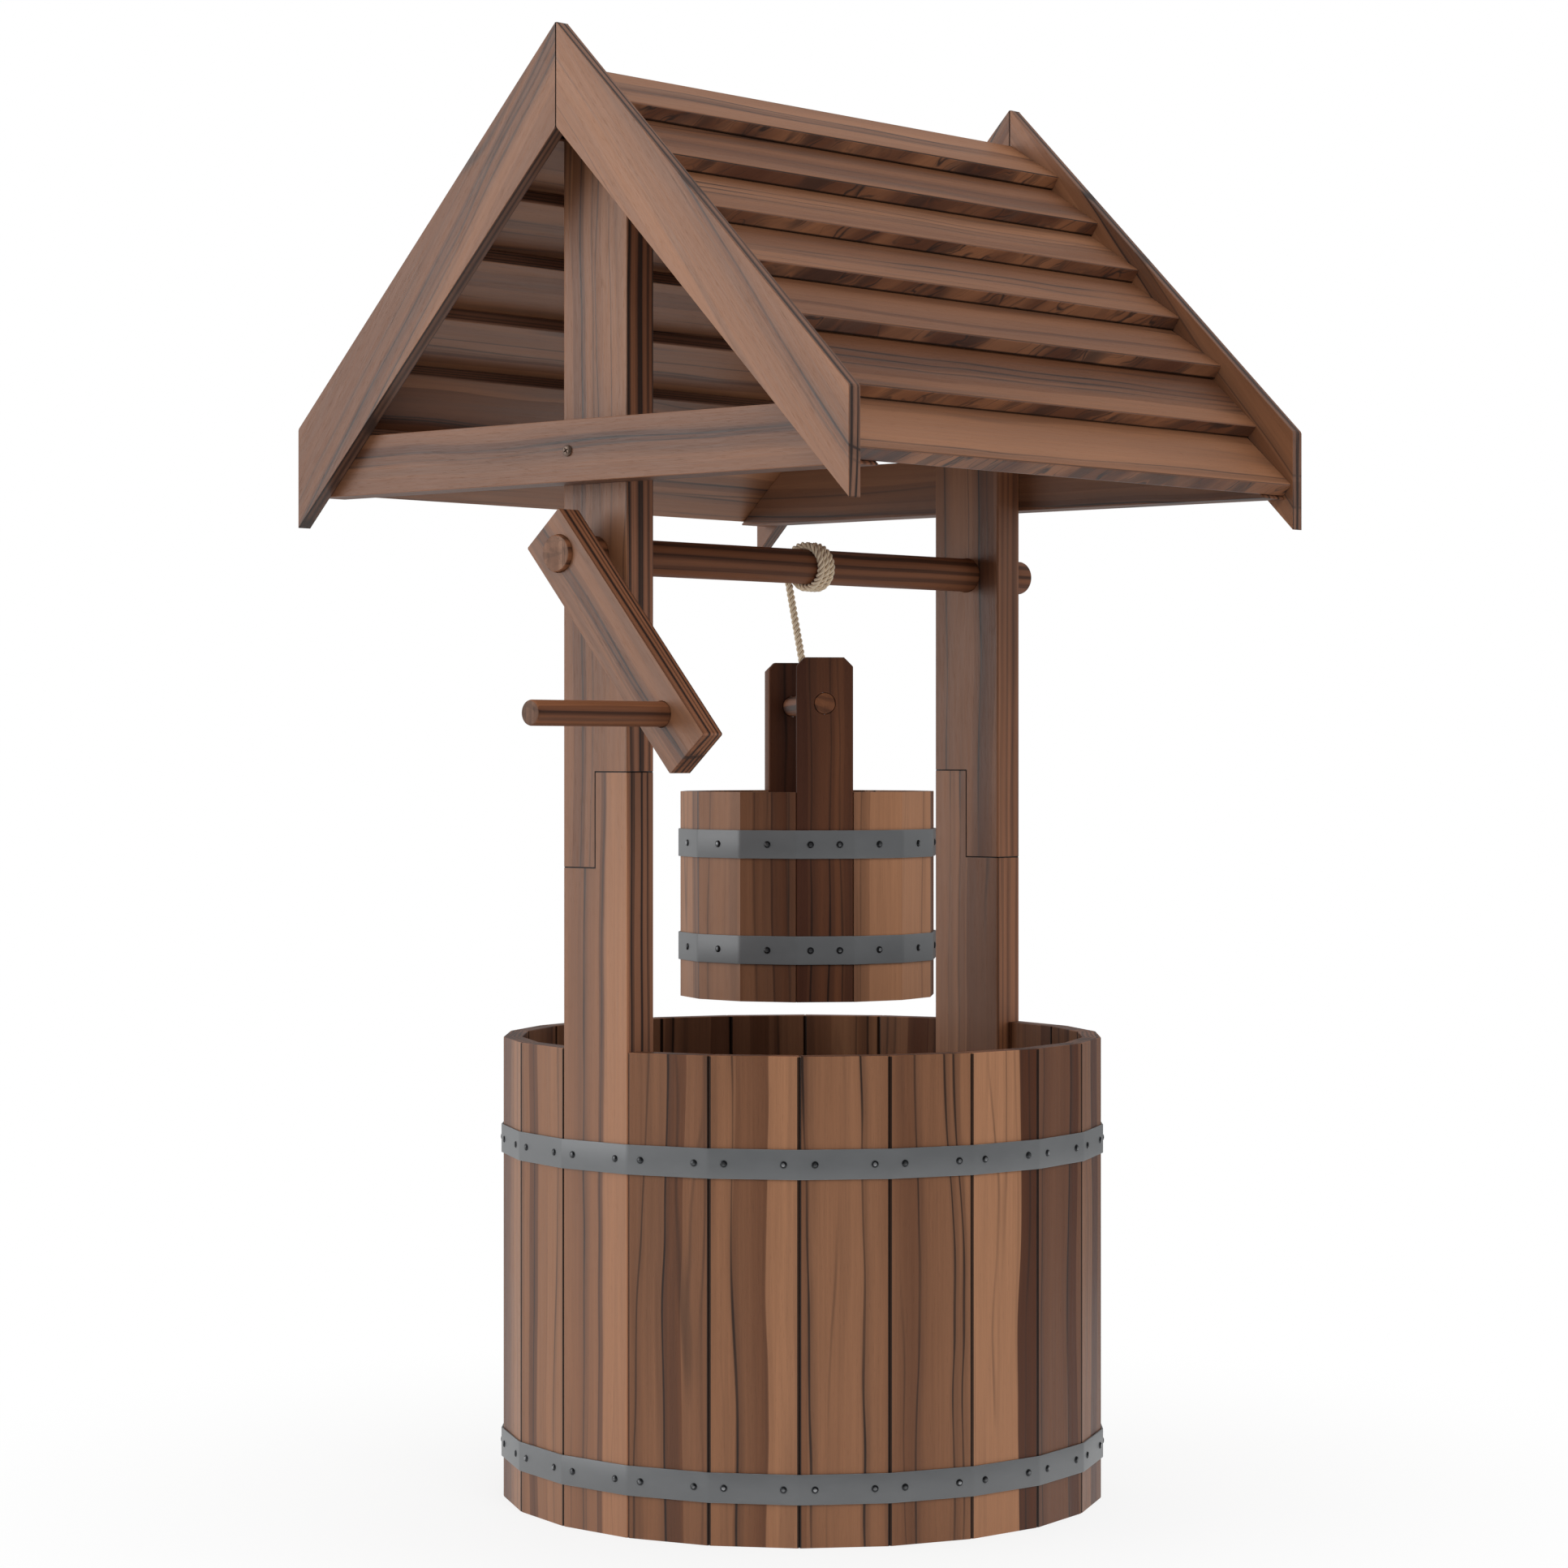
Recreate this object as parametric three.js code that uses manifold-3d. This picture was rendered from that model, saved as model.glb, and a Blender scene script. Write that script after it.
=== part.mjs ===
// Wishing well planter: a staved tub, two posts that carry a windlass and a slatted roof, and a
// staved bucket that hangs on a rope from the windlass.
// Millimetres, +Z up. X runs along the windlass shaft, with the crank at -X. Front is -Y.
// The origin is the centre of the tub on the ground.

import * as THREE from 'three';
import { mergeVertices } from 'three/addons/utils/BufferGeometryUtils.js';
import Module from 'manifold-3d';

const wasm = await Module();
wasm.setup();

// Fits and finish shared by every piece
const seatGap = 0.3;
const runningGap = 0.3;
const edgeEasing = 1;
const cutOverrun = 5;
const roundFacets = 24;

// Tub: flat staves in a ring, with a post in place of a stave at each end of the shaft
const tubRadius = 250;
const tubSides = 22;
const tubHeight = 381;
const staveThickness = 15;

// Steel hoops and their rivets
const hoopThickness = 1.6;
const rivetDiameter = 6;
const rivetHeight = 1.6;
const rivetCrownShare = 0.55;
const rivetFacets = 6;
const tubHoopWidth = 23.5;
const tubLowerHoopHeight = 33.7;
const tubHoopSpacing = 251.8;
const tubRivetSpacing = 47;

// Tub floor: boards on battens that stand on the ground
const floorBoardCount = 5;
const floorBoardGap = 4;
const floorBoardThickness = 14;
const battenWidth = 40;
const battenHeight = 20;
const battenSpacing = 130;

// Posts: a lower and an upper length joined by a half lap
const postThickness = 30;
const lapRise = 144.2;
const lapLength = 76;

// Windlass: shaft, crank arm and handle
const shaftDiameter = 29;
const shaftRiseOverLap = 171.3;
const shaftTail = 44.6;
const shaftProud = 3.9;
const armStandoff = 18.7;
const armThickness = 22;
const armWidth = 46.4;
const armLength = 236;
const armHead = 27.3;
const crankLean = 41.1;
const handleDiameter = 19.5;
const handleThrow = 168;
const handleLength = 140.5;

// Roof: tie beams, bargeboards and slats
const tieRiseOverShaft = 56.8;
const tieHeight = 48.5;
const tieThickness = 30.3;
const bargeThickness = 13.4;
const bargeWidth = 58.6;
const apexRiseOverTie = 360;
const roofAngle = 45;
const ridgeDrop = 32.2;
const bargeOverhang = 1.3;
const slatThickness = 13;
const slatExposure = 60.8;
const slatOverlap = 6;
const ridgeSlatWidth = 64.5;
const ridgeSlatAngle = 31.2;
const middleSlatAngle = 33.1;
const eavesSlatAngle = 43;
const middleSlatCount = 4;
const eavesSlatCount = 2;

// Bucket: a ring of staves, two of which rise as lugs, and the dowel that it hangs by
const bucketRadius = 107;
const bucketSides = 14;
const bucketHeight = 170.5;
const bucketStaveThickness = 11;
const bucketTurn = 49.1;
const bucketOffsetX = 2.9;
const bucketOffsetY = -3.3;
const lugRise = 109.5;
const lugChamfer = 8;
const dowelDiameter = 17;
const dowelDrop = 116;
const dowelBelowLugTop = 37.5;
const bucketFloorRecess = 4;
const bucketFloorThickness = 12;
const bucketHoopWidth = 23;
const bucketLowerHoopRise = 30.6;
const bucketHoopSpacing = 85.9;
const lugRivetSpacing = 24;

// Rope: turns on the shaft, and the stretch that drops to the dowel and its stopper knot
const ropeDiameter = 5.8;
const ropePitch = 6.3;
const ropeTurns = 3.1;
const ropeStartX = 0.5;
const ropeLeaveAngle = -11;
const stepsPerTurn = 24;
const windingSides = 6;
const ropeSides = 8;
const ropeSteps = 26;
const ropeHoleGap = 0.5;
const knotRadius = 7;
const knotFacets = 10;
const knotRings = 6;

// The dropping rope's route from the turns, down through the dowel, to the middle of the knot
const ropeRoute = [
  [0.15, 16.2, 763.1],
  [0.1, 15.6, 760.2],
  [0.1, 14.6, 756],
  [0.2, 13.4, 750],
  [0.5, 11.4, 740],
  [0.8, 9.4, 730],
  [1.1, 7.4, 720],
  [1.4, 5.3, 710],
  [1.7, 3.3, 700],
  [2, 1.3, 690],
  [2.35, -0.7, 680],
  [2.65, -2.3, 672],
  [2.85, -3.1, 667],
  [2.9, -3.3, 663],
  [2.9, -3.3, 656.5],
  [2.9, -3.3, 650],
  [2.9, -3.3, 645],
  [2.9, -3.3, 641.5],
];

// Places that follow from the sizes
const degrees = Math.PI / 180;
const tubFlat = tubRadius * Math.cos(Math.PI / tubSides);
const postHalfWidth = tubRadius * Math.sin(Math.PI / tubSides) - seatGap / 2;
const lapBottom = tubHeight + lapRise;
const lapTop = lapBottom + lapLength;
const shaftRadius = shaftDiameter / 2;
const shaftHeight = lapTop + shaftRiseOverLap;
const armInner = tubFlat + armStandoff;
const armOuter = armInner + armThickness;
const tieBottom = shaftHeight + tieRiseOverShaft;
const tieTop = tieBottom + tieHeight;
const tieInner = tubFlat + seatGap;
const tieOuter = tieInner + tieThickness;
const bargeInner = tieOuter + seatGap;
const apexHeight = tieBottom + apexRiseOverTie;
const ridgeHeight = apexHeight - ridgeDrop;
const dowelHeight = shaftHeight - dowelDrop;
const lugTop = dowelHeight + dowelBelowLugTop;
const bucketRim = lugTop - lugRise;
const bucketBottom = bucketRim - bucketHeight;
const dowelRadius = dowelDiameter / 2;
const ropeRadius = ropeDiameter / 2;
const windingRadius = shaftRadius + seatGap + ropeRadius;

const tubRing = { radius: tubRadius, sides: tubSides, thickness: staveThickness };
const bucketRing = { radius: bucketRadius, sides: bucketSides, thickness: bucketStaveThickness };

const well = new THREE.Group();
const bucket = new THREE.Group();
bucket.position.set(bucketOffsetX, bucketOffsetY, 0);
bucket.rotation.z = bucketTurn * degrees;
well.add(bucket);

// Materials
function wood(colour) {
  return new THREE.MeshStandardMaterial({ color: colour, roughness: 0.6, metalness: 0 });
}

function steel() {
  return new THREE.MeshStandardMaterial({ color: 0x64686b, roughness: 0.45, metalness: 0.6 });
}

function hemp() {
  return new THREE.MeshStandardMaterial({ color: 0xb7a283, roughness: 0.9, metalness: 0 });
}

const tubWood = 0x6b4636;
const postWood = 0x745548;
const roofWood = 0x7c5f51;
const turnedWood = 0x5a382b;
const floorWood = 0x664537;

function addPiece(parent, name, geometry, material) {
  const piece = new THREE.Mesh(geometry, material);
  piece.name = name;
  parent.add(piece);
}

// Solids for cutting and joining
function solidOf(geometry) {
  const bare = geometry.clone();
  bare.deleteAttribute('normal');
  bare.deleteAttribute('uv');
  const merged = mergeVertices(bare);
  const faces = [];
  for (let corner = 0; corner < merged.index.count; corner += 3) {
    const [a, b, c] = [0, 1, 2].map((step) => merged.index.getX(corner + step));
    if (a !== b && b !== c && c !== a) {
      faces.push(a, b, c);
    }
  }
  const vertProperties = Float32Array.from(merged.attributes.position.array);
  const triVerts = Uint32Array.from(faces);
  return new wasm.Manifold(new wasm.Mesh({ numProp: 3, vertProperties, triVerts }));
}

function geometryOf(solid) {
  const mesh = solid.getMesh();
  const geometry = new THREE.BufferGeometry();
  const corners = new Float32Array(mesh.triVerts.length * 3);
  mesh.triVerts.forEach((vertex, index) => {
    for (let axis = 0; axis < 3; axis += 1) {
      corners[index * 3 + axis] = mesh.vertProperties[vertex * mesh.numProp + axis];
    }
  });
  geometry.setAttribute('position', new THREE.BufferAttribute(corners, 3));
  geometry.computeVertexNormals();
  return geometry;
}

function cut(geometry, ...tools) {
  const solid = tools.reduce((rest, tool) => rest.subtract(solidOf(tool)), solidOf(geometry));
  return geometryOf(solid);
}

// Outlines, as lists of pairs
function turned([u, v], angle) {
  return [u * Math.cos(angle) - v * Math.sin(angle), u * Math.sin(angle) + v * Math.cos(angle)];
}

function rectangle(lowU, highU, lowV, highV) {
  return [[lowU, lowV], [highU, lowV], [highU, highV], [lowU, highV]];
}

function regularOutline(sides, radius, middle) {
  const corners = [];
  for (let side = 0; side < sides; side += 1) {
    corners.push(turned([radius, 0], middle + (2 * side + 1) * Math.PI / sides));
  }
  return corners;
}

function mirrored(points) {
  return points.map(([u, v]) => [-u, v]);
}

// Keeps the part of a convex outline where u * normalU + v * normalV is at most the limit.
function clipped(points, normalU, normalV, limit) {
  const kept = [];
  points.forEach(([u, v], index) => {
    const [nextU, nextV] = points[(index + 1) % points.length];
    const here = u * normalU + v * normalV - limit;
    const next = nextU * normalU + nextV * normalV - limit;
    if (here <= 0) {
      kept.push([u, v]);
    }
    if (here * next < 0) {
      const share = here / (here - next);
      kept.push([u + share * (nextU - u), v + share * (nextV - v)]);
    }
  });
  return kept;
}

// Takes a small flat off each corner of an outline.
function eased(points, size = edgeEasing) {
  return points.flatMap(([u, v], index) => {
    const neighbours = [points.at(index - 1), points[(index + 1) % points.length]];
    return neighbours.map(([nearU, nearV]) => {
      const share = size / Math.hypot(nearU - u, nearV - v);
      return [u + share * (nearU - u), v + share * (nearV - v)];
    });
  });
}

// An outline in X and Y, raised from one height to another.
function upright(points, low, high) {
  const shape = new THREE.Shape(points.map(([x, y]) => new THREE.Vector2(x, y)));
  const raised = new THREE.ExtrudeGeometry(shape, { depth: high - low, bevelEnabled: false });
  return raised.translate(0, 0, low);
}

const xAxis = new THREE.Vector3(1, 0, 0);
const yAxis = new THREE.Vector3(0, 1, 0);
const zAxis = new THREE.Vector3(0, 0, 1);

// An outline in Y and Z, run along X from one place to another.
function alongX(points, start, end) {
  const turn = new THREE.Matrix4().makeBasis(yAxis, zAxis, xAxis);
  return upright(points, start, end).applyMatrix4(turn);
}

function roundHole(radius, start, end, facets = roundFacets) {
  const outline = regularOutline(facets, radius / Math.cos(Math.PI / facets), 0);
  return alongX(outline, start, end);
}

// A round bar along X with eased ends.
function roundBar(radius, start, end) {
  const outline = regularOutline(roundFacets, radius, 0);
  const shape = new THREE.Shape(outline.map(([y, z]) => new THREE.Vector2(y, z)));
  const bar = new THREE.ExtrudeGeometry(shape, {
    depth: end - start - 2 * edgeEasing,
    bevelThickness: edgeEasing,
    bevelSize: edgeEasing,
    bevelOffset: -edgeEasing,
    bevelSegments: 1,
  });
  bar.translate(0, 0, start + edgeEasing);
  return bar.applyMatrix4(new THREE.Matrix4().makeBasis(yAxis, zAxis, xAxis));
}

// One flat stave of a ring, seen from above, with its sides mitred to the middle of the ring
function staveOutline(ring, middle) {
  const half = Math.PI / ring.sides;
  const outer = ring.radius * Math.cos(half);
  const inner = outer - ring.thickness;
  const reach = (depth) => depth * Math.tan(half) - seatGap / (2 * Math.cos(half));
  const corners = [
    [inner, -reach(inner)], [outer, -reach(outer)], [outer, reach(outer)], [inner, reach(inner)],
  ];
  return corners.map((corner) => turned(corner, middle));
}

function rivet(outward, sideways, height, middle) {
  const crown = rivetDiameter / 2 * rivetCrownShare;
  const sunk = hoopThickness / 2;
  const head = new THREE.CylinderGeometry(crown, rivetDiameter / 2, rivetHeight + sunk, rivetFacets);
  head.rotateZ(-Math.PI / 2);
  head.translate(outward + (rivetHeight - sunk) / 2, sideways, height);
  return head.rotateZ(middle);
}

// A flat-sided hoop round a ring of staves. rivetsOn gives the sideways places of one stave's rivets.
function hoop(ring, low, width, rivetsOn) {
  const half = Math.PI / ring.sides;
  const inner = ring.radius * Math.cos(half) + seatGap;
  const outer = inner + hoopThickness;
  const band = solidOf(upright(regularOutline(ring.sides, outer / Math.cos(half), 0), low, low + width));
  const hollow = regularOutline(ring.sides, inner / Math.cos(half), 0);
  let solid = band.subtract(solidOf(upright(hollow, low - cutOverrun, low + width + cutOverrun)));
  for (let side = 0; side < ring.sides; side += 1) {
    rivetsOn(side).forEach((sideways) => {
      const head = rivet(outer, sideways, low + width / 2, 2 * half * side);
      solid = solid.add(solidOf(head));
    });
  }
  return geometryOf(solid);
}

function buildTub() {
  const postSides = [0, tubSides / 2];
  let number = 0;
  for (let side = 0; side < tubSides; side += 1) {
    if (!postSides.includes(side)) {
      number += 1;
      const middle = 2 * Math.PI * side / tubSides;
      const clear = postHalfWidth + seatGap;
      const outline = clipped(staveOutline(tubRing, middle), 0, -Math.sign(Math.sin(middle)), -clear);
      const name = `tub_stave_${String(number).padStart(2, '0')}`;
      addPiece(well, name, upright(eased(outline), 0, tubHeight), wood(tubWood));
    }
  }
  const rivetsOn = () => [-tubRivetSpacing / 2, tubRivetSpacing / 2];
  const upperHoopHeight = tubLowerHoopHeight + tubHoopSpacing;
  addPiece(well, 'tub_hoop_lower', hoop(tubRing, tubLowerHoopHeight, tubHoopWidth, rivetsOn), steel());
  addPiece(well, 'tub_hoop_upper', hoop(tubRing, upperHoopHeight, tubHoopWidth, rivetsOn), steel());
}

function postOutline(spare = 0) {
  const inner = tubFlat - postThickness - spare;
  return rectangle(-tubFlat, -inner, -postHalfWidth - spare, postHalfWidth + spare);
}

function buildFloor() {
  const half = Math.PI / tubSides;
  const reach = tubFlat - staveThickness - seatGap;
  const top = battenHeight + floorBoardThickness;
  const boardWidth = (2 * reach - (floorBoardCount - 1) * floorBoardGap) / floorBoardCount;
  let floor = null;
  const join = (outline, low, high) => {
    const solid = solidOf(upright(outline, low, high));
    floor = floor ? floor.add(solid) : solid;
  };
  for (let board = 0; board < floorBoardCount; board += 1) {
    const front = -reach + board * (boardWidth + floorBoardGap);
    join(rectangle(-tubRadius, tubRadius, front, front + boardWidth), battenHeight, top);
  }
  [-battenSpacing, 0, battenSpacing].forEach((middle) => {
    const outline = rectangle(middle - battenWidth / 2, middle + battenWidth / 2, -tubRadius, tubRadius);
    join(outline, 0, battenHeight);
  });
  const disc = upright(regularOutline(tubSides, reach / Math.cos(half), 0), 0, top);
  floor = floor.intersect(solidOf(disc));
  [0, Math.PI].forEach((turn) => {
    const notch = upright(postOutline(seatGap), -cutOverrun, top + cutOverrun).rotateZ(turn);
    floor = floor.subtract(solidOf(notch));
  });
  addPiece(well, 'tub_floor', geometryOf(floor), wood(floorWood));
}

// The slats of the back slope, from the ridge down, each with its angle and its two lower corners.
// A slat lies on the one below it, with its upper edge pushed under the one above.
function slatPlaces() {
  const angles = [
    ridgeSlatAngle,
    ...Array(middleSlatCount).fill(middleSlatAngle),
    ...Array(eavesSlatCount).fill(eavesSlatAngle),
  ];
  const places = [];
  angles.forEach((fromLevel, index) => {
    const angle = fromLevel * degrees;
    const down = [Math.cos(angle), -Math.sin(angle)];
    const out = [Math.sin(angle), Math.cos(angle)];
    let outer = [ridgeSlatWidth * down[0], ridgeHeight + ridgeSlatWidth * down[1]];
    let width = ridgeSlatWidth + cutOverrun;
    if (index > 0) {
      const above = places[index - 1];
      const steeper = angle - above.angle;
      const clear = (seatGap + slatOverlap * Math.sin(steeper)) / Math.cos(steeper);
      outer = above.inner.map((place, axis) => place - clear * out[axis] + slatExposure * down[axis]);
      width = slatExposure + slatOverlap;
    }
    const inner = outer.map((place, axis) => place - slatThickness * out[axis]);
    places.push({ angle, down, out, outer, inner, width });
  });
  return places;
}

const slats = slatPlaces();
const lastSlat = slats[slats.length - 1];
const roofHalfWidth = lastSlat.outer[0] + bargeOverhang;

// A back slat's outline, grown by a clearance and kept clear of the middle of the roof
function slatOutline({ down, out, outer, inner, width }, clear = 0) {
  const moved = (corner, along, outward) => corner.map(
    (place, axis) => place + along * down[axis] + outward * out[axis],
  );
  const corners = [
    moved(outer, clear, clear), moved(outer, -width - clear, clear),
    moved(inner, -width - clear, -clear), moved(inner, clear, -clear),
  ];
  return clipped(corners, -1, 0, -seatGap / 2);
}

function buildRoof() {
  const reach = bargeInner - seatGap;
  slats.forEach((place, index) => {
    const slat = alongX(eased(slatOutline(place)), -reach, reach);
    const turnedRound = slat.clone().rotateZ(Math.PI);
    addPiece(well, `slat_back_${index + 1}`, slat, wood(roofWood));
    addPiece(well, `slat_front_${index + 1}`, turnedRound, wood(roofWood));
  });

  const rise = Math.tan(roofAngle * degrees);
  const depth = bargeWidth / Math.cos(roofAngle * degrees);
  const footTop = apexHeight - roofHalfWidth * rise;
  const barge = clipped([
    [0, apexHeight], [roofHalfWidth, footTop], [roofHalfWidth, footTop - depth], [0, apexHeight - depth],
  ], -1, 0, -seatGap / 2);
  const [outY, outZ] = lastSlat.out;
  const limit = lastSlat.inner[0] * outY + lastSlat.inner[1] * outZ - seatGap;
  const bar = rectangle(-roofHalfWidth, roofHalfWidth, tieBottom, tieTop);
  const tie = clipped(clipped(bar, outY, outZ, limit), -outY, outZ, limit);
  [['crank', -1], ['far', 1]].forEach(([end, side]) => {
    const place = (outline, near, away) => alongX(eased(outline), Math.min(side * near, side * away),
      Math.max(side * near, side * away));
    const bargeOuter = bargeInner + bargeThickness;
    addPiece(well, `bargeboard_${end}_back`, place(barge, bargeInner, bargeOuter), wood(roofWood));
    addPiece(well, `bargeboard_${end}_front`, place(mirrored(barge), bargeInner, bargeOuter), wood(roofWood));
    addPiece(well, `tie_beam_${end}`, place(tie, tieInner, tieOuter), wood(roofWood));
  });
}

function buildPosts() {
  const outline = eased(postOutline());
  const start = -tubFlat - cutOverrun;
  const end = -tubFlat + postThickness + cutOverrun;
  const far = postHalfWidth + cutOverrun;
  const half = seatGap / 2;
  const backHalf = alongX(rectangle(-half, far, lapBottom, lapTop + cutOverrun), start, end);
  const lower = cut(upright(outline, 0, lapTop), backHalf);

  const ridge = slats[0];
  const underRidge = (ridge.inner[1] * ridge.out[1] + ridge.inner[0] * ridge.out[0] - seatGap) / ridge.out[1];
  const underEdge = underRidge - far * Math.tan(ridge.angle);
  const gable = [
    [0, underRidge], [far, underEdge], [far, apexHeight], [-far, apexHeight], [-far, underEdge],
  ];
  const frontHalf = alongX(rectangle(-far, half, lapBottom - cutOverrun, lapTop + seatGap), start, end);
  const bore = roundHole(shaftRadius + runningGap, start, end).translate(0, 0, shaftHeight);
  const blank = upright(outline, lapBottom + seatGap, apexHeight - ridgeDrop);
  const lowerSlats = slats.slice(1).flatMap((place) => {
    const slat = slatOutline(place, seatGap);
    return [alongX(slat, start, end), alongX(mirrored(slat), start, end)];
  });
  const upper = cut(blank, frontHalf, alongX(gable, start, end), bore, ...lowerSlats);
  [['crank', 0], ['far', Math.PI]].forEach(([name, turn]) => {
    addPiece(well, `post_lower_${name}`, lower.clone().rotateZ(turn), wood(postWood));
    addPiece(well, `post_upper_${name}`, upper.clone().rotateZ(turn), wood(postWood));
  });
}

function buildWindlass() {
  const shaft = roundBar(shaftRadius, -armOuter - shaftProud, tubFlat + shaftTail);
  addPiece(well, 'windlass_shaft', shaft.translate(0, 0, shaftHeight), wood(turnedWood));

  const lean = (-90 - crankLean) * degrees;
  const bar = eased(rectangle(-armHead, armLength - armHead, -armWidth / 2, armWidth / 2));
  const arm = alongX(bar.map((point) => turned(point, lean)), -armOuter, -armInner);
  const [handleY, handleZ] = turned([handleThrow, 0], lean);
  const holeStart = -armOuter - cutOverrun;
  const holeEnd = -armInner + cutOverrun;
  const shaftHole = roundHole(shaftRadius + seatGap, holeStart, holeEnd);
  const handleRadius = handleDiameter / 2;
  const handleHole = roundHole(handleRadius + seatGap, holeStart, holeEnd).translate(0, handleY, handleZ);
  addPiece(well, 'crank_arm', cut(arm, shaftHole, handleHole).translate(0, 0, shaftHeight), wood(roofWood));

  const handle = roundBar(handleRadius, -armOuter - handleLength, -armInner);
  handle.translate(0, handleY, handleZ + shaftHeight);
  addPiece(well, 'crank_handle', handle, wood(turnedWood));
}

// A bucket side: the staves between the two lugs, with a groove in the outer face at each joint
function bucketSide(first, last) {
  const half = Math.PI / bucketSides;
  const outerFlat = bucketRadius * Math.cos(half);
  const innerRadius = (outerFlat - bucketStaveThickness) / Math.cos(half);
  const outer = [];
  const inner = [];
  for (let side = first; side <= last; side += 1) {
    const middle = 2 * half * side;
    const [innerStart, outerStart, outerEnd, innerEnd] = staveOutline(bucketRing, middle);
    const easing = turned([0, edgeEasing], middle);
    outer.push(outerStart.map((place, axis) => place + easing[axis]));
    outer.push(outerEnd.map((place, axis) => place - easing[axis]));
    if (side === first) {
      inner.push(innerStart);
    }
    if (side < last) {
      outer.push(turned([bucketRadius - edgeEasing, 0], middle + half));
      inner.push(turned([innerRadius, 0], middle + half));
    } else {
      inner.push(innerEnd);
    }
  }
  return upright([...outer, ...inner.reverse()], bucketBottom, bucketRim);
}

function buildBucket() {
  const half = Math.PI / bucketSides;
  const outerFlat = bucketRadius * Math.cos(half);
  const innerFlat = outerFlat - bucketStaveThickness;
  const start = innerFlat - cutOverrun;
  const end = outerFlat + cutOverrun;
  const shoulder = bucketRadius * Math.sin(half);
  const topHalf = shoulder - lugChamfer;
  const face = [
    [-shoulder, bucketBottom], [shoulder, bucketBottom], [shoulder, lugTop - lugChamfer],
    [topHalf, lugTop], [-topHalf, lugTop], [-shoulder, lugTop - lugChamfer],
  ];
  const stave = solidOf(upright(eased(staveOutline(bucketRing, 0)), bucketBottom, lugTop));
  const shaped = geometryOf(stave.intersect(solidOf(alongX(face, start, end))));
  const bore = roundHole(dowelRadius + runningGap, start, end).translate(0, 0, dowelHeight);
  const lug = cut(shaped, bore);
  addPiece(bucket, 'bucket_lug_back', lug, wood(turnedWood));
  addPiece(bucket, 'bucket_lug_front', lug.clone().rotateZ(Math.PI), wood(turnedWood));

  const opposite = bucketSides / 2;
  addPiece(bucket, 'bucket_staves_left', bucketSide(1, opposite - 1), wood(turnedWood));
  addPiece(bucket, 'bucket_staves_right', bucketSide(opposite + 1, bucketSides - 1), wood(turnedWood));

  const floorRadius = (innerFlat - seatGap) / Math.cos(half);
  const floorLow = bucketBottom + bucketFloorRecess;
  const floorOutline = regularOutline(bucketSides, floorRadius, 0);
  const floor = upright(floorOutline, floorLow, floorLow + bucketFloorThickness);
  addPiece(bucket, 'bucket_floor', floor, wood(floorWood));

  const rivetsOn = (side) => (side % opposite === 0 ? [-lugRivetSpacing / 2, lugRivetSpacing / 2] : [0]);
  const lowerHoop = bucketBottom + bucketLowerHoopRise;
  const upperHoop = lowerHoop + bucketHoopSpacing;
  addPiece(bucket, 'bucket_hoop_lower', hoop(bucketRing, lowerHoop, bucketHoopWidth, rivetsOn), steel());
  addPiece(bucket, 'bucket_hoop_upper', hoop(bucketRing, upperHoop, bucketHoopWidth, rivetsOn), steel());

  const dowel = roundBar(dowelRadius, -outerFlat, outerFlat);
  const ropeHole = regularOutline(roundFacets / 2, ropeRadius + ropeHoleGap, 0);
  const drilled = cut(dowel, upright(ropeHole, -dowelDiameter, dowelDiameter));
  addPiece(bucket, 'bucket_dowel', drilled.translate(0, 0, dowelHeight), wood(turnedWood));
}

// The rope's way round the shaft: up over the top from the back, with a straight length of one
// diameter at each end
class WindingPath extends THREE.Curve {
  constructor() {
    super();
    this.turnLength = Math.hypot(2 * Math.PI * windingRadius, ropePitch);
    this.woundLength = ropeTurns * this.turnLength;
    this.length = this.woundLength + 2 * ropeDiameter;
  }

  wound(distance) {
    const turns = distance / this.turnLength;
    const angle = ropeLeaveAngle * degrees + 2 * Math.PI * turns;
    const [y, z] = turned([windingRadius, 0], angle);
    return new THREE.Vector3(ropeStartX + ropePitch * turns, y, shaftHeight + z);
  }

  heading(distance) {
    const angle = ropeLeaveAngle * degrees + 2 * Math.PI * distance / this.turnLength;
    const [y, z] = turned([0, windingRadius], angle);
    return new THREE.Vector3(ropePitch / (2 * Math.PI), y, z).normalize();
  }

  getPoint(share) {
    const distance = share * this.length - ropeDiameter;
    const held = THREE.MathUtils.clamp(distance, 0, this.woundLength);
    return this.wound(held).addScaledVector(this.heading(held), distance - held);
  }
}

function tube(path, sides, steps) {
  const section = regularOutline(sides, ropeRadius, 0).map(([u, v]) => new THREE.Vector2(u, v));
  return new THREE.ExtrudeGeometry(new THREE.Shape(section), { steps, extrudePath: path });
}

// The least distance between two stretches of the winding that aren't next to each other
function leastGap(path, steps) {
  const points = path.getSpacedPoints(steps);
  const apart = Math.ceil(steps / ropeTurns / 2);
  let least = Infinity;
  points.forEach((point, index) => {
    points.slice(index + apart).forEach((other) => {
      least = Math.min(least, point.distanceTo(other) - ropeDiameter);
    });
  });
  return least;
}

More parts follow.
